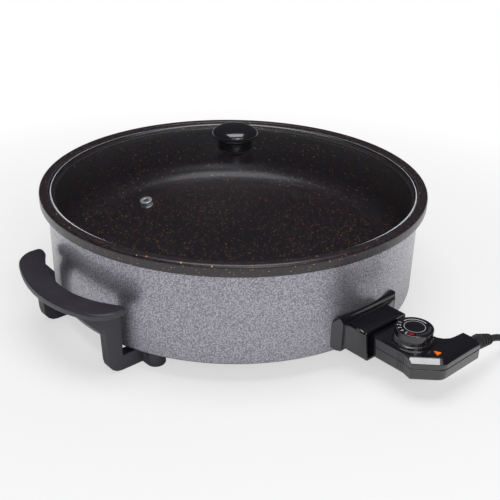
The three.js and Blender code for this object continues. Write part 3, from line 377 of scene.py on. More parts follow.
def rounded_copy(name, node, body, width):
    """A copy of a CAD node with its outward edges rounded, each as far as its faces have room."""
    mesh = nodes[node].data.copy()
    mesh.materials.clear()
    work = bmesh.new()
    work.from_mesh(mesh)
    bmesh.ops.remove_doubles(work, verts=work.verts, dist=ROUNDING.weld)
    flat = math.radians(ROUNDING.flat_angle)
    bmesh.ops.dissolve_limit(work, angle_limit=flat, verts=work.verts, edges=work.edges)
    weights = work.edges.layers.float.new("bevel_weight_edge")
    sharp = math.radians(ROUNDING.sharp_angle)
    for edge in work.edges:
        if edge.is_convex and edge.calc_face_angle(0) > sharp:
            edge[weights] = min(1, room_for_rounding(edge) / width)
    work.to_mesh(mesh)
    work.free()
    mesh.shade_smooth()
    piece = link(name, mesh, body)
    bevel = piece.modifiers.new("rounding", "BEVEL")
    bevel.width = width
    bevel.segments = ROUNDING.segments
    bevel.limit_method = "WEIGHT"
    bevel.use_clamp_overlap = False
    piece.modifiers.new("normals", "WEIGHTED_NORMAL")
    apply_modifiers(piece)
    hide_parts(node)


# The cord: one line through its free stretch, its coil and the stretch to the plug


def coil_points():
    """The coil's centreline: inwards on the lower layer, up, and outwards on the upper one."""
    middle = COIL.turns / 2
    centre_y = CORD_Y - COIL.inner - COIL.pitch * middle
    found = []
    for i in range(round(COIL.turns * COIL.steps) + 1):
        turn = i / COIL.steps
        reach = COIL.inner + COIL.pitch * abs(turn - middle)
        climb = min(max((turn - middle) / COIL.climb_turns + 0.5, 0), 1)
        angle = QUARTER - FULL * turn
        height = COIL.height + COIL.pitch * (1 - math.cos(math.pi * climb)) / 2
        x = COIL.x + reach * math.cos(angle)
        y = centre_y + reach * math.sin(angle)
        found.append((x, y, height))
    return found


def cord_points():
    """The whole centreline: free stretch, coil, stretch to the plug."""
    lead = [(x, CORD_Y, z) for x, z in LEAD_ROUTE]
    wound = coil_points()
    tail_y = wound[-1][1]
    tail = [(x, tail_y, z) for x, z in TAIL_ROUTE]
    return lead + wound + tail


cord_path = cord_points()
cord_data = bpy.data.curves.new("power_cord", "CURVE")
cord_data.dimensions = "3D"
# The points' own radius is the cord's, so the curve's is 1
cord_data.bevel_depth = 1
cord_data.bevel_resolution = STEPS.cord_side
cord_data.resolution_u = STEPS.cord_length
cord_data.use_fill_caps = True
spline = cord_data.splines.new("BEZIER")
spline.bezier_points.add(len(cord_path) - 1)
for point, place in zip(spline.bezier_points, cord_path):
    point.co = place
    point.radius = CORD_RADIUS
    point.handle_left_type = "AUTO"
    point.handle_right_type = "AUTO"
power_cord = link("power_cord", cord_data, "control")
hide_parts("cord_lead", "cord_coil", "cord_tail")


# The pan


def pan_profile():
    """The cast pan's section, from its underside's middle round to the floor's middle."""
    recess = PAN.rim_radius - PAN.rim_width
    ledge = PAN.rim_top - PAN.ledge_depth
    floor_top = PAN.rim_top - PAN.depth
    band_bottom = PAN.rim_top - PAN.band_height
    outer = PAN.cavity_radius + PAN.wall
    corner = PAN.corner_radius + PAN.wall
    fillet = PAN.corner_radius
    inner_corner = PAN.cavity_radius - fillet
    under = floor_top - PAN.floor
    soft = PAN.edge_round
    hem = PAN.band_wall / 2
    channel = PAN.rim_top - PAN.lip_thickness
    rim_round = PAN.rim_round
    lip_round = PAN.lip_round
    rim_x = PAN.rim_radius - rim_round
    return [
        (0, under),
        *arc(outer - corner, under + corner, corner, -QUARTER, 0, STEPS.base),
        (outer, ledge - PAN.wall),
        (recess + PAN.wall, ledge - PAN.wall),
        (recess + PAN.wall, channel),
        (PAN.rim_radius - PAN.band_wall, channel),
        *arc(PAN.rim_radius - hem, band_bottom + hem, hem, -2 * QUARTER, 0),
        *arc(rim_x, PAN.rim_top - rim_round, rim_round, 0, QUARTER, STEPS.bend),
        *arc(recess + lip_round, PAN.rim_top - lip_round, lip_round, QUARTER, 2 * QUARTER),
        *arc(recess - soft, ledge + soft, soft, 0, -QUARTER, STEPS.crease),
        *arc(PAN.cavity_radius + soft, ledge - soft, soft, QUARTER, 2 * QUARTER, STEPS.edge),
        *arc(inner_corner, floor_top + fillet, fillet, 0, -QUARTER, STEPS.fillet),
        (0, floor_top),
    ]


def stud(place):
    """A cast stud below the pan's floor, which a base screw turns into."""
    profile = [
        (0, STUD.bottom),
        (STUD.radius - STUD.round, STUD.bottom),
        (STUD.radius, STUD.bottom + STUD.round),
        (STUD.radius, STUD.top),
        (0, STUD.top),
    ]
    return moved(lathe(profile, SEGMENTS.stud), place)


stud_sides = ((1, 1), (-1, 1), (-1, -1), (1, -1))
stud_places = [(STUD.reach * x, STUD.reach * y, 0) for x, y in stud_sides]
pan_shape = joined(lathe(pan_profile()), *map(stud, stud_places))
cast_pan = link("cast_pan", mesh_of("cast_pan", *pan_shape), "pan")
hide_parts("inner_pan")


# The jacket


def jacket_profile():
    """The sheet jacket's section, with its bottom flange turned inwards."""
    centre = JACKET.radius - JACKET.corner_radius
    height = JACKET.bottom + JACKET.corner_radius
    inner_radius = JACKET.corner_radius - JACKET.wall
    return [
        (JACKET.flange_bore, JACKET.bottom),
        *arc(centre, height, JACKET.corner_radius, -QUARTER, 0, STEPS.bend),
        (JACKET.radius, JACKET.top),
        (JACKET.radius - JACKET.wall, JACKET.top),
        *arc(centre, height, inner_radius, 0, -QUARTER, STEPS.bend),
        (JACKET.flange_bore, JACKET.bottom + JACKET.wall),
    ]


jacket_shell = turned("jacket_shell", jacket_profile(), "pan")
cut(jacket_shell, block(*JACKET.window))
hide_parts("outer_jacket")


# The lid


def dome_radius():
    return (LID.radius**2 + LID.rise**2) / (2 * LID.rise)


def dome_centre():
    return LID.under + LID.thickness + LID.rise - dome_radius()


def dome(radius, start, end):
    """Points of the glass's arc between two distances from its middle."""
    first = QUARTER - math.asin(start / radius)
    last = QUARTER - math.asin(end / radius)
    return arc(0, dome_centre(), radius, first, last, STEPS.dome)


def rounded_top():
    """The middle of the glass's upper outer rounding, in its section."""
    x = LID.radius - LID.edge_round
    return x, dome_centre() + math.sqrt(dome_radius() ** 2 - x**2) - LID.edge_round


def glass_profile():
    """The glass's section, from its bore's lower end round to its upper end."""
    outer = dome_radius()
    inner = outer - LID.thickness
    soft = LID.edge_round
    x, z = rounded_top()
    return [
        *dome(inner, LID.bore, LID.radius - LID.seat),
        (LID.radius - LID.seat, LID.under),
        *arc(x, LID.under + soft, soft, -QUARTER, 0, STEPS.edge),
        *arc(x, z, soft, 0, QUARTER, STEPS.edge)[:-1],
        *dome(outer, x, LID.bore),
    ]


def edge_profile():
    """A pale skin on the glass's upper outer corner: partly a ground edge, partly a painted
    highlight.
    """
    soft = LID.edge_round
    start = LID.skin_start
    x, z = rounded_top()
    return [
        *arc(x, z, soft + LID.edge_skin, start, QUARTER, STEPS.bead),
        *arc(x, z, soft - LID.edge_skin, QUARTER, start, STEPS.bead),
    ]


def at_vent():
    """From the origin to the vent, square to the glass."""
    reach = LID.radius - VENT.inset
    tilt = math.asin(reach / dome_radius())
    height = dome_centre() + dome_radius() * math.cos(tilt)
    turn = Matrix.Rotation(VENT.turn, 4, "Z")
    return turn @ Matrix.Translation((reach, 0, height)) @ Matrix.Rotation(tilt, 4, "Y")


def vent_hole():
    """A rod through the glass, to be cut out of it."""
    low = -2 * LID.thickness
    high = LID.thickness
    profile = [(0, low), (VENT.hole, low), (VENT.hole, high), (0, high)]
    rod = mesh_of("rod", *lathe(profile, SEGMENTS.vent_hole))
    rod.transform(at_vent())
    return rod


def vent_profile():
    """A tube with a flange above the glass and one below it, both with soft edges."""
    upper = VENT.gap
    lower = -LID.thickness - VENT.gap
    soft = VENT.round
    foot = lower - VENT.flange + soft
    head = upper + VENT.flange - soft
    rim = VENT.flange_radius - soft
    mouth = VENT.bore + soft
    return [
        *arc(mouth, foot, soft, -2 * QUARTER, -QUARTER, STEPS.edge),
        *arc(rim, foot, soft, -QUARTER, QUARTER, STEPS.bead),
        (VENT.tube, lower),
        (VENT.tube, upper),
        *arc(rim, head, soft, -QUARTER, QUARTER, STEPS.bead),
        *arc(mouth, head, soft, QUARTER, 2 * QUARTER, STEPS.edge),
    ]


glass_dome = turned("glass_dome", glass_profile(), "lid")
cut(glass_dome, vent_hole())
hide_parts("lid_glass")
# The pale skin on the glass's rounded edge: partly a ground edge's whitish look, partly a painted
# highlight
turned("glass_edge", edge_profile(), "lid", sharp_angle=SHARP.ring)
vent_ring = turned("vent_ring", vent_profile(), "lid", SEGMENTS.vent, SHARP.ring)
vent_ring.data.transform(at_vent())
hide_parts("vent_grommet")


def knob_profile():
    """A mushroom: a neck, a flaring underside and a flattened dome."""
    cap = KNOB.bottom + KNOB.neck_height
    widest = cap + KNOB.cap_skirt
    dome_height = KNOB.cap_height - KNOB.cap_skirt
    power = 2 / KNOB.cap_fullness
    neck = KNOB.neck_radius
    soft = KNOB.neck_round
    flare = KNOB.under_round
    crown = []
    for i in range(STEPS.knob_cap):
        turn = QUARTER * i / STEPS.knob_cap
        reach = KNOB.cap_radius * math.cos(turn) ** power
        crown.append((reach, widest + dome_height * math.sin(turn) ** power))
    return [
        (0, KNOB.bottom),
        *arc(neck - soft, KNOB.bottom + soft, soft, -QUARTER, 0, STEPS.crease),
        (neck, cap),
        *arc(KNOB.cap_under, cap + flare, flare, -QUARTER, -QUARTER / 2, STEPS.crease),
        *crown,
        (0, widest + dome_height),
    ]


knob_body = turned("knob_body", knob_profile(), "lid", SEGMENTS.knob)
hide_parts("lid_knob")


# The dial


def dial_profile():
    """The dial's section, from its bore's end round to the middle of its top."""
    top = DIAL.bottom + DIAL.height
    step = DIAL.bottom + DIAL.skirt_height
    bore = DIAL.bottom + DIAL.bore_depth
    band_top = DIAL.bottom + DIAL.band_height
    soft = DIAL.round
    return [
        (0, bore),
        (DIAL.bore, bore),
        (DIAL.bore, DIAL.bottom),
        (DIAL.skirt, DIAL.bottom),
        (DIAL.skirt, step - DIAL.skirt_chamfer),
        (DIAL.radius, step),
        (DIAL.radius, step + DIAL.band_foot),
        (DIAL.radius, band_top),
        (DIAL.radius, band_top + DIAL.band_lip),
        *arc(DIAL.radius - soft, top - soft, soft, 0, QUARTER, STEPS.dial_edge),
        (0, top),
    ]


def ridged(x, z, i):
    """Fine grip ridges round the dial's lower band."""
    low = DIAL.bottom + DIAL.skirt_height + DIAL.ridge_margin
    high = DIAL.bottom + DIAL.band_height + DIAL.ridge_margin
    in_groove = i % DIAL.ridge_points < DIAL.ridge_points / 2
    return x - DIAL.ridge_depth if low < z < high and in_groove else x


dial_shape = lathe(dial_profile(), DIAL.ridges * DIAL.ridge_points, ridged)
dial_mesh = mesh_of("dial_body", *dial_shape)
dial_mesh.transform(Matrix.Translation((DIAL.x, DIAL.y, 0)))
dial_body = link("dial_body", dial_mesh, "dial")
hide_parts("dial_knob")


def on_dial(shapes):
    """A mesh of flat solids, laid on the dial's top."""
    mesh = mesh_of("marks", *joined(*shapes), sharp_angle=SHARP.mark)
    height = DIAL.bottom + DIAL.height - MARKS.sunk
    mesh.transform(Matrix.Translation((DIAL.x, DIAL.y, height)))
    return mesh


def band(inner, outer, start, end, steps=STEPS.mark):
    """A thin flat solid between two radii and two turns in degrees."""
    section = ((inner, 0), (outer, 0), (outer, MARKS.thickness), (inner, MARKS.thickness))
    sides = len(section)
    vertices = []
    for i in range(steps + 1):
        turn = math.radians(start + (end - start) * i / steps)
        for reach, z in section:
            vertices.append((reach * math.cos(turn), reach * math.sin(turn), z))
    faces = [tuple(reversed(range(sides))), tuple(sides * steps + k for k in range(sides))]
    for i in range(steps):
        for k in range(sides):
            a = sides * i + k
            b = sides * i + (k + 1) % sides
            faces.append((a, b, b + sides, a + sides))
    return vertices, faces


def numeral(text, turn):
    """A numeral as a thin solid, its foot towards the dial's middle."""
    data = bpy.data.curves.new("numeral", "FONT")
    data.body = text
    data.size = MARKS.numeral_size
    data.extrude = MARKS.thickness / 2
    data.align_x = "CENTER"
    data.align_y = "CENTER"
    data.resolution_u = STEPS.numeral
    holder = new_object("numeral", data)
    graph = bpy.context.evaluated_depsgraph_get()
    mesh = bpy.data.meshes.new_from_object(holder.evaluated_get(graph))
    bpy.data.objects.remove(holder)
    lift = Matrix.Translation((0, MARKS.numeral_radius, MARKS.thickness / 2))
    mesh.transform(Matrix.Rotation(math.radians(turn) - QUARTER, 4, "Z") @ lift)
    vertices = [tuple(vertex.co) for vertex in mesh.vertices]
    return vertices, [list(face.vertices) for face in mesh.polygons]


def tick(turn):
    return band(MARKS.tick_inner, MARKS.tick_outer, turn, turn + MARKS.tick_width_turn, 1)


ring_half = MARKS.ring_width / 2
arc_half = MARKS.arc_width / 2
white_band = band(MARKS.arc_radius - arc_half, MARKS.arc_radius + arc_half, *MARKS.arc_turns)
red_band = band(MARKS.tick_inner, MARKS.tick_outer, *MARKS.red_turns, STEPS.red_mark)
numerals = [numeral(text, turn) for text, turn in NUMERAL_TURNS.items()]
ring = [
    (MARKS.ring_radius - ring_half, 0),
    (MARKS.ring_radius + ring_half, 0),
    (MARKS.ring_radius + ring_half, MARKS.thickness),
    (MARKS.ring_radius - ring_half, MARKS.thickness),
]
dial_marks = {
    "dial_ring": [lathe(ring, SEGMENTS.knob)],
    "dial_numerals": [white_band, *numerals],
    "dial_red_mark": [red_band],
    "dial_ticks": list(map(tick, TICK_TURNS)),
}
for name, shapes in dial_marks.items():
    link(name, on_dial(shapes), "dial")


# The moulded pieces

rounded_copy("side_handle_right", "handle_right", "pan", ROUNDING.handle)
rounded_copy("side_handle_left", "handle_left", "pan", ROUNDING.handle)
rounded_copy("socket_body", "socket_housing", "pan", ROUNDING.socket)
rounded_copy("control_base", "control_bottom", "control", ROUNDING.control)
rounded_copy("control_cover", "control_top", "control", ROUNDING.control)
rounded_copy("indicator", "pilot_lens", "control", ROUNDING.lens)


# Material helpers

# The numbers of a Mix node's sockets: its share, its two numbers, its two colours, and
# the colour that comes out
MIX_SHARE = 0
MIX_NUMBERS = (2, 3)
MIX_COLOURS = (6, 7)
MIXED_COLOUR = 2

# Limits: where most of a noise's values lie, where nearly all of them do, and 0 to 1
MOST = (0.3, 0.7)
NEARLY_ALL = (0.25, 0.75)
WHOLE = (0, 1)

WHITE = (1, 1, 1, 1)

# The sRGB curve: its power part above the dark values, and its straight part in them
SRGB = Sizes(full=255, dark=10, offset=0.055, power=2.4, slope=12.92)


def rgb(*values):
    """A linear colour with its alpha, from an sRGB colour of 0 to 255."""
    linear = []
    for value in values:
        level = value / SRGB.full
        bright = ((level + SRGB.offset) / (1 + SRGB.offset)) ** SRGB.power
        linear.append(bright if value > SRGB.dark else level / SRGB.slope)
    return (*linear, 1)


def feed(socket, value):
    """Gives a node's input a plain value or another node's result."""
    if isinstance(value, bpy.types.NodeSocket):
        socket.id_data.links.new(value, socket)
    else:
        socket.default_value = value


class Shader:
    """A new material's node tree, with its Principled shader and its place in the object."""

    def __init__(self, name, **plain):
        self.material = bpy.data.materials.new(name)
        self.material.use_nodes = True
        self.tree = self.material.node_tree
        self.tree.nodes.clear()
        self.output = self.tree.nodes.new("ShaderNodeOutputMaterial")
        self.surface = self.tree.nodes.new("ShaderNodeBsdfPrincipled")
        feed(self.output.inputs["Surface"], self.surface.outputs["BSDF"])
        for key, value in plain.items():
            self.set(key.replace("_", " "), value)
        self.place = self.tree.nodes.new("ShaderNodeTexCoord").outputs["Object"]

    def set(self, name, value):
        """Gives the Principled shader a value or a node's result."""
        feed(self.surface.inputs[name], value)

    def node(self, kind, result, **inputs):
        """Adds a node. Inputs are numbers, colours or other nodes' results."""
        made = self.tree.nodes.new(kind)
        for key, value in inputs.items():
            feed(made.inputs[key.replace("_", " ")], value)
        return made.outputs[result]

    def maths(self, kind, operation, values, result):
        """Adds a node that works something out from one value or two."""
        made = self.tree.nodes.new(kind)
        made.operation = operation
        for socket, value in zip(made.inputs, values):
            feed(socket, value)
        return made.outputs[result]

    def number(self, operation, *values):
        return self.maths("ShaderNodeMath", operation, values, "Value")

    def vector(self, operation, *values, result="Vector"):
        return self.maths("ShaderNodeVectorMath", operation, values, result)

    def noise(self, size, detail=2):
        """Noise whose features have about the given size in metres."""
        inputs = {"Vector": self.place, "Scale": 1 / size, "Detail": detail}
        return self.node("ShaderNodeTexNoise", "Fac", **inputs)

    def cells(self, size, result="Distance", feature="F1", place=None):
        """Cells whose width is about the given size in metres."""
        where = place or self.place
        found = self.node("ShaderNodeTexVoronoi", result, Vector=where, Scale=1 / size)
        found.node.feature = feature
        return found

    def ramp(self, value, *stops, smooth=False):
        """Colours by a value: pairs of a place from 0 to 1 and a colour or a grey."""
        made = self.tree.nodes.new("ShaderNodeValToRGB")
        ramp = made.color_ramp
        ramp.interpolation = "EASE" if smooth else "LINEAR"
        while len(ramp.elements) < len(stops):
            ramp.elements.new(1)
        for element, (place, colour) in zip(ramp.elements, stops):
            element.position = place
            grey = isinstance(colour, (int, float))
            element.color = (colour, colour, colour, 1) if grey else colour
        feed(made.inputs["Fac"], value)
        return made.outputs["Color"]

    def span(self, value, values, results):
        """Turns values between two limits into results between two others."""
        ends = {"From_Min": values[0], "From_Max": values[1]}
        ends.update({"To_Min": results[0], "To_Max": results[1]})
        return self.node("ShaderNodeMapRange", "Result", Value=value, **ends)

    def blend(self, share, first, second):
        """Mixes two colours."""
        made = self.tree.nodes.new("ShaderNodeMix")
        made.data_type = "RGBA"
        for number, value in zip((MIX_SHARE, *MIX_COLOURS), (share, first, second)):
            feed(made.inputs[number], value)
        return made.outputs[MIXED_COLOUR]

    def warped(self, size, reach):
        """The place, pushed about by noise of the given size, by up to the given reach."""
        inputs = {"Vector": self.place, "Scale": 1 / size, "Detail": 1}
        push = self.node("ShaderNodeTexNoise", "Color", **inputs)
        centred = self.vector("SUBTRACT", push, (0.5, 0.5, 0.5))
        return self.vector("ADD", self.place, self.vector("MULTIPLY", centred, (reach,) * 3))

    def bump(self, height, depth):
        """Bump from a height of 0 to 1, whose whole depth is in metres."""
        self.set("Normal", self.node("ShaderNodeBump", "Normal", Height=height, Distance=depth))

    def wander(self, noise, colour, roughness, darkest, values=MOST):
        """Lets noise darken the colour, down to a share of it, and move the roughness."""
        darker = rgb(*[darkest * value for value in colour])
        self.set("Base Color", self.blend(noise, darker, rgb(*colour)))
        self.set("Roughness", self.span(noise, values, roughness))

    def mix_surfaces(self, share, first, second):
        """Makes the surface a mix of two shader nodes."""
        mix = self.tree.nodes.new("ShaderNodeMixShader")
        for socket, value in zip(mix.inputs, (share, first.outputs[0], second.outputs[0])):
            feed(socket, value)
        feed(self.output.inputs["Surface"], mix.outputs[0])


# Materials


def hammertone():
    """Grey hammered paint: small worm-like lands with slightly darker lines between them."""
    shader = Shader("hammertone", Metallic=0.78, IOR=1.5, Coat_Weight=0.6, Coat_Roughness=0.12)
    place = shader.warped(size=0.0019, reach=0.0012)
    cells = shader.cells(size=0.0013, feature="SMOOTH_F1", place=place)
    top_ends = 0.12
    line_starts = 0.62
    lands = shader.ramp(cells, (top_ends, 1), (line_starts, 0), smooth=True)
    line_tone = rgb(136, 135, 144)
    slope_tone = rgb(172, 171, 181)
    land_tone = rgb(198, 197, 208)
    tint = shader.ramp(lands, (0, line_tone), (0.5, slope_tone), (1, land_tone))
    fine_share = shader.span(shader.noise(size=0.0006), MOST, (0, 0.24))
    broad_share = shader.span(shader.noise(size=0.05, detail=1), MOST, (0, 0.1))
    shaded = shader.blend(fine_share, tint, rgb(140, 139, 148))
    shader.set("Base Color", shader.blend(broad_share, shaded, rgb(142, 141, 150)))
    shader.set("Roughness", shader.span(lands, WHOLE, (0.44, 0.3)))
    shader.bump(lands, depth=0.00005)
    return shader.material


def specks(shader, size, share, radius, colours):
    """Round specks: the share of the surface's cells that has one, and its colour."""
    picked = shader.cells(size, result="Color")
    pick = shader.node("ShaderNodeSeparateColor", "Red", Color=picked)
    growth = shader.node("ShaderNodeSeparateColor", "Green", Color=picked)
    hue = shader.node("ShaderNodeSeparateColor", "Blue", Color=picked)
    reach = shader.number("MULTIPLY", shader.span(growth, WHOLE, (0.5, 1)), radius)
    chosen = shader.number("LESS_THAN", pick, share)
    inside = shader.number("LESS_THAN", shader.cells(size), reach)
    stops = [(i / len(colours), rgb(*colour)) for i, colour in enumerate(colours)]
    return shader.number("MULTIPLY", chosen, inside), shader.ramp(hue, *stops)


def non_stick():
    """Dark stone-effect coating, with gold, orange and brown-red specks."""
    shader = Shader("non_stick", IOR=1.5, Coat_Weight=0.3, Coat_Roughness=0.2)
    mottle = shader.noise(size=0.004, detail=3)
    base = shader.ramp(mottle, (MOST[0], rgb(30, 25, 29)), (MOST[1], rgb(50, 42, 48)))
    browns = [(170, 104, 52), (138, 62, 44), (110, 50, 42), (190, 140, 78)]
    golds = [(226, 164, 84), (176, 92, 52), (206, 140, 70)]
    small = specks(shader, size=0.0023, share=0.4, radius=0.28, colours=browns)
    large = specks(shader, size=0.0056, share=0.24, radius=0.16, colours=golds)
    colour = shader.blend(small[0], base, small[1])
    shader.set("Base Color", shader.blend(large[0], colour, large[1]))
    shader.set("Roughness", shader.span(mottle, MOST, (0.3, 0.44)))
    shader.bump(shader.noise(size=0.0011), depth=0.00005)
    return shader.material


def plastic(name, colour, roughness, grain, depth, **plain):
    """Moulded plastic, whose roughness wanders between two values, with a fine grain."""
    shader = Shader(name, IOR=1.6, **plain)
    shader.wander(shader.noise(size=0.018, detail=3), colour, roughness, darkest=0.8)
    shader.bump(shader.noise(grain), depth)
    return shader.material


def metal(name, colour, roughness):
    """Metal with a slight brushed or plated unevenness."""
    shader = Shader(name, Metallic=1)
    streaks = shader.noise(size=0.02, detail=4)
    shader.wander(streaks, colour, roughness, darkest=0.82, values=NEARLY_ALL)
    shader.bump(shader.noise(size=0.0006), depth=0.00001)
    return shader.material


def rubber(name, colour):
    """Dull rubber or soft cord jacket."""
    shader = Shader(name, IOR=1.48, Sheen_Weight=0.1)
    shader.wander(shader.noise(size=0.006, detail=4), colour, (0.5, 0.66), darkest=0.7)
    shader.bump(shader.noise(size=0.0005), depth=0.00003)
    return shader.material


def paint(name, colour, roughness=(0.29, 0.43)):
    """An even paint, print or ground surface; the glass edge's skin is partly a painted
    highlight.
    """
    shader = Shader(name, IOR=1.5)
    shader.wander(shader.noise(size=0.004, detail=3), colour, roughness, darkest=0.9)
    return shader.material


def ceramic():
    """Pale grainy insulator."""
    shader = Shader("ceramic", IOR=1.55)
    grain = shader.noise(size=0.0012, detail=4)
    shader.set("Base Color", shader.blend(grain, rgb(205, 198, 182), rgb(232, 228, 216)))
    shader.set("Roughness", shader.span(grain, MOST, (0.45, 0.62)))
    shader.bump(grain, depth=0.00005)
    return shader.material


def amber():
    """Orange indicator plastic, which seems lit from inside."""
    shader = Shader("amber", IOR=1.5, Roughness=0.2, Emission_Strength=0.25)
    cloud = shader.noise(size=0.003)
    colour = shader.blend(cloud, rgb(226, 92, 18), rgb(250, 132, 36))
    shader.set("Base Color", colour)
    shader.set("Emission Color", colour)
    return shader.material


# The glass's share of gloss, face-on and edge-on, and how late it grows between them
GLASS_GLOSS = Sizes(shares=(0.02, 0.6), steepness=5)


def glass():
    """Thin clear glass: what passes through is barely dimmed, and its edge-on gloss is strong."""
    shader = Shader("lid_glass")
    tree = shader.tree
    tree.nodes.remove(shader.surface)
    clear = tree.nodes.new("ShaderNodeBsdfTransparent")
    gloss = tree.nodes.new("ShaderNodeBsdfGlossy")
    smears = shader.noise(size=0.05, detail=3)
    tint = shader.blend(smears, rgb(244, 246, 248), rgb(250, 251, 252))
    feed(clear.inputs["Color"], tint)
    feed(gloss.inputs["Roughness"], shader.span(smears, MOST, (0.02, 0.07)))
    feed(gloss.inputs["Color"], WHITE)
    facing = shader.node("ShaderNodeLayerWeight", "Facing", Blend=0.5)
    edge_on = shader.number("POWER", facing, GLASS_GLOSS.steepness)
    gloss_share = shader.span(edge_on, WHOLE, GLASS_GLOSS.shares)
    shader.mix_surfaces(gloss_share, clear, gloss)
    return shader.material


HAMMERTONE = hammertone()
NON_STICK = non_stick()
GLASS = glass()
GLOSSY = plastic(
    "glossy_plastic",
    (30, 28, 34),
    roughness=(0.12, 0.2),
    grain=0.0009,
    depth=0.000001,
    Coat_Weight=0.6,
)
SATIN = plastic(
    "satin_plastic",
    (60, 57, 66),
    roughness=(0.34, 0.46),
    grain=0.0005,
    depth=0.00001,
)
RUBBER = rubber("rubber", (26, 26, 28))
CORD_JACKET = rubber("cord_jacket", (34, 34, 37))
STEEL = metal("stainless", (205, 206, 210), roughness=(0.16, 0.3))
SATIN_STEEL = metal("satin_steel", (236, 238, 242), roughness=(0.42, 0.56))
DARK_STEEL = metal("blackened_steel", (66, 66, 70), roughness=(0.36, 0.5))
ZINC = metal("zinc_plate", (176, 178, 184), roughness=(0.34, 0.5))
BRASS = metal("brass", (202, 168, 96), roughness=(0.22, 0.36))
CERAMIC = ceramic()
AMBER = amber()
WHITE_PAINT = paint("white_marks", (226, 228, 232))
RED_PAINT = paint("red_mark", (186, 28, 24))
GREY_PAINT = paint("grey_marks", (96, 96, 102))
SILVER = paint("silver_ring", (172, 174, 182))
# The glass edge's pale skin: partly a ground edge's whitish look, partly a painted highlight
GROUND_EDGE_AND_HIGHLIGHT = paint("ground_edge_and_highlight", (226, 232, 236), roughness=(0.24, 0.38))


def dress(material, slot, *names):
    """Gives pieces or CAD nodes a material. The slot is not used."""
    for name in names:
        piece = nodes.get(name) or bpy.data.objects[name]
        piece.data.materials.clear()
        piece.data.materials.append(material)


def named(text, count):
    """A set's names, numbered from 1."""
    return [f"{text}_{i + 1}" for i in range(count)]


def both(text):
    """The names of a left piece and a right one."""
    return [f"{text}_left", f"{text}_right"]


dress(NON_STICK, "non_stick_casting", "cast_pan", "probe_guide")
dress(HAMMERTONE, "hammertone_jacket", "jacket_shell")
dress(ZINC, "plated_sheet", "base_plate", "heat_reflector", *named("element_clip", 3))
dress(ZINC, "fasteners", *named("base_screw", 4), *named("control_screw", 3))
dress(ZINC, "fasteners", *both("socket_screw"))
dress(DARK_STEEL, "fasteners", *named("handle_screw", 4), *named("handle_nut", 4))
dress(STEEL, "stainless", "heating_element", "probe_rod", "knob_washer", "knob_screw")
dress(SATIN_STEEL, "stainless", "vent_ring")
dress(SILVER, "stainless", "dial_ring")
dress(BRASS, "contact_brass", *both("terminal_pin"), *both("contact_sleeve"))
dress(BRASS, "contact_brass", "dial_spindle", *named("plug_pin", 2))
dress(CERAMIC, "insulator", *both("terminal_bush"), "thermostat_switch")
dress(SATIN, "handle_plastic", *both("side_handle"))
dress(GLOSSY, "black_plastic", "socket_body", "control_base", "control_cover")
dress(GLOSSY, "black_plastic", "knob_body", "dial_body")
dress(WHITE_PAINT, "black_plastic", "dial_numerals")
dress(RED_PAINT, "black_plastic", "dial_red_mark")
dress(GREY_PAINT, "black_plastic", "dial_ticks")
dress(RUBBER, "foot_rubber", *named("foot_pad", 4))
dress(RUBBER, "gasket", "knob_gasket")
dress(GLASS, "lid_glass", "glass_dome")
dress(GROUND_EDGE_AND_HIGHLIGHT, "lid_glass", "glass_edge")
dress(AMBER, "amber_lens", "indicator")
dress(CORD_JACKET, "cord_jacket", "power_cord", "strain_relief", "cord_tie", "plug_body")


# Floor, lights and world

# The floor's size and unevenness, and how white it looks by the distance from its middle
FLOOR = Sizes(
    half_side=6,
    patch=0.3,
    near_far=(0.3, 0.7),
    white_shares=(0.58, 1),
    gloss_near_far=(0.24, 0.4),
    gloss_shares=(0, 0.95),
    edge_near_far=(0.75, 1.2),
    edge_strengths=(1, 0.05),
)

# The world's strength as a light and in gloss. The camera sees it as white, at 1.
WORLD = Sizes(as_light=0.26, in_gloss=0.04, for_camera=1)

LIGHTS = {
    "overhead": Sizes(
        place=(-0.1, -0.16, 1.5),
        target=(0, 0, 0.05),
        width=1.2,
        height=0.9,
        watts=13,
    ),
    "front": Sizes(
        place=(-0.69, -1.38, 0.94),
        target=(0, -0.28, 0.03),
        width=0.4,
        height=0.3,
        watts=3,
    ),
    "wall": Sizes(
        place=(-0.9, -1.7, 1.2),
        target=(0, 0, 0.05),
        width=2.2,
        height=1.2,
        watts=9,
    ),
}


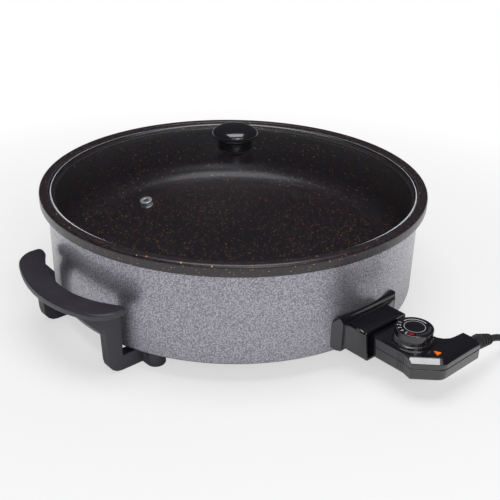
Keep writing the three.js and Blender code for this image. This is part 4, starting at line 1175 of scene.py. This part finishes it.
def floor_plane():
    """A pale floor. The camera and gloss see it nearer to white, more so far from the object."""
    mesh = bpy.data.meshes.new("floor")
    corners = [(-1, -1), (1, -1), (1, 1), (-1, 1)]
    places = [(FLOOR.half_side * x, FLOOR.half_side * y, TABLE_HEIGHT) for x, y in corners]
    mesh.from_pydata(places, [], [(0, 1, 2, 3)])
    plane = new_object("floor", mesh)
    shader = Shader("floor", Roughness=0.8, IOR=1.2)
    tree = shader.tree
    tone = shader.blend(shader.noise(FLOOR.patch), rgb(243, 243, 244), rgb(246, 246, 247))
    shader.set("Base Color", tone)
    reach = shader.vector("LENGTH", shader.place, result="Value")
    rays = tree.nodes.new("ShaderNodeLightPath")
    by_camera = rays.outputs["Is Camera Ray"]
    white_share = shader.span(reach, FLOOR.near_far, FLOOR.white_shares)
    gloss_share = shader.span(reach, FLOOR.gloss_near_far, FLOOR.gloss_shares)
    seen = shader.number("MULTIPLY", by_camera, white_share)
    mirrored = shader.number("MULTIPLY", rays.outputs["Is Glossy Ray"], gloss_share)
    fading = shader.span(reach, FLOOR.edge_near_far, FLOOR.edge_strengths)
    white = tree.nodes.new("ShaderNodeEmission")
    feed(white.inputs["Strength"], shader.number("MAXIMUM", by_camera, fading))
    shader.mix_surfaces(shader.number("MAXIMUM", seen, mirrored), shader.surface, white)
    mesh.materials.append(shader.material)


def area_light(name, light):
    """A soft rectangular light, aimed at its target."""
    data = bpy.data.lights.new(name, "AREA")
    data.shape = "RECTANGLE"
    data.size = light.width
    data.size_y = light.height
    data.energy = light.watts
    lamp = new_object(name, data)
    lamp.location = light.place
    aim = Vector(light.target) - Vector(light.place)
    lamp.rotation_mode = "QUATERNION"
    lamp.rotation_quaternion = aim.to_track_quat("-Z", "Y")


def by_ray(tree, ray, other_strength, strength):
    """One strength for a kind of ray, and another one for all other rays."""
    made = tree.nodes.new("ShaderNodeMix")
    for number, value in zip((MIX_SHARE, *MIX_NUMBERS), (ray, other_strength, strength)):
        feed(made.inputs[number], value)
    return made.outputs[0]


def white_world():
    """White where the camera looks past everything, and softer as a light and in gloss."""
    world = bpy.data.worlds.new("studio")
    world.use_nodes = True
    tree = world.node_tree
    tree.nodes.clear()
    output = tree.nodes.new("ShaderNodeOutputWorld")
    background = tree.nodes.new("ShaderNodeBackground")
    feed(background.inputs["Color"], WHITE)
    rays = tree.nodes.new("ShaderNodeLightPath").outputs
    unseen = by_ray(tree, rays["Is Glossy Ray"], WORLD.as_light, WORLD.in_gloss)
    strength = by_ray(tree, rays["Is Camera Ray"], unseen, WORLD.for_camera)
    feed(background.inputs["Strength"], strength)
    feed(output.inputs["Surface"], background.outputs[0])
    bpy.context.scene.world = world


floor_plane()
white_world()
for name, light in LIGHTS.items():
    area_light(name, light)
bpy.context.scene.view_settings.view_transform = "Standard"
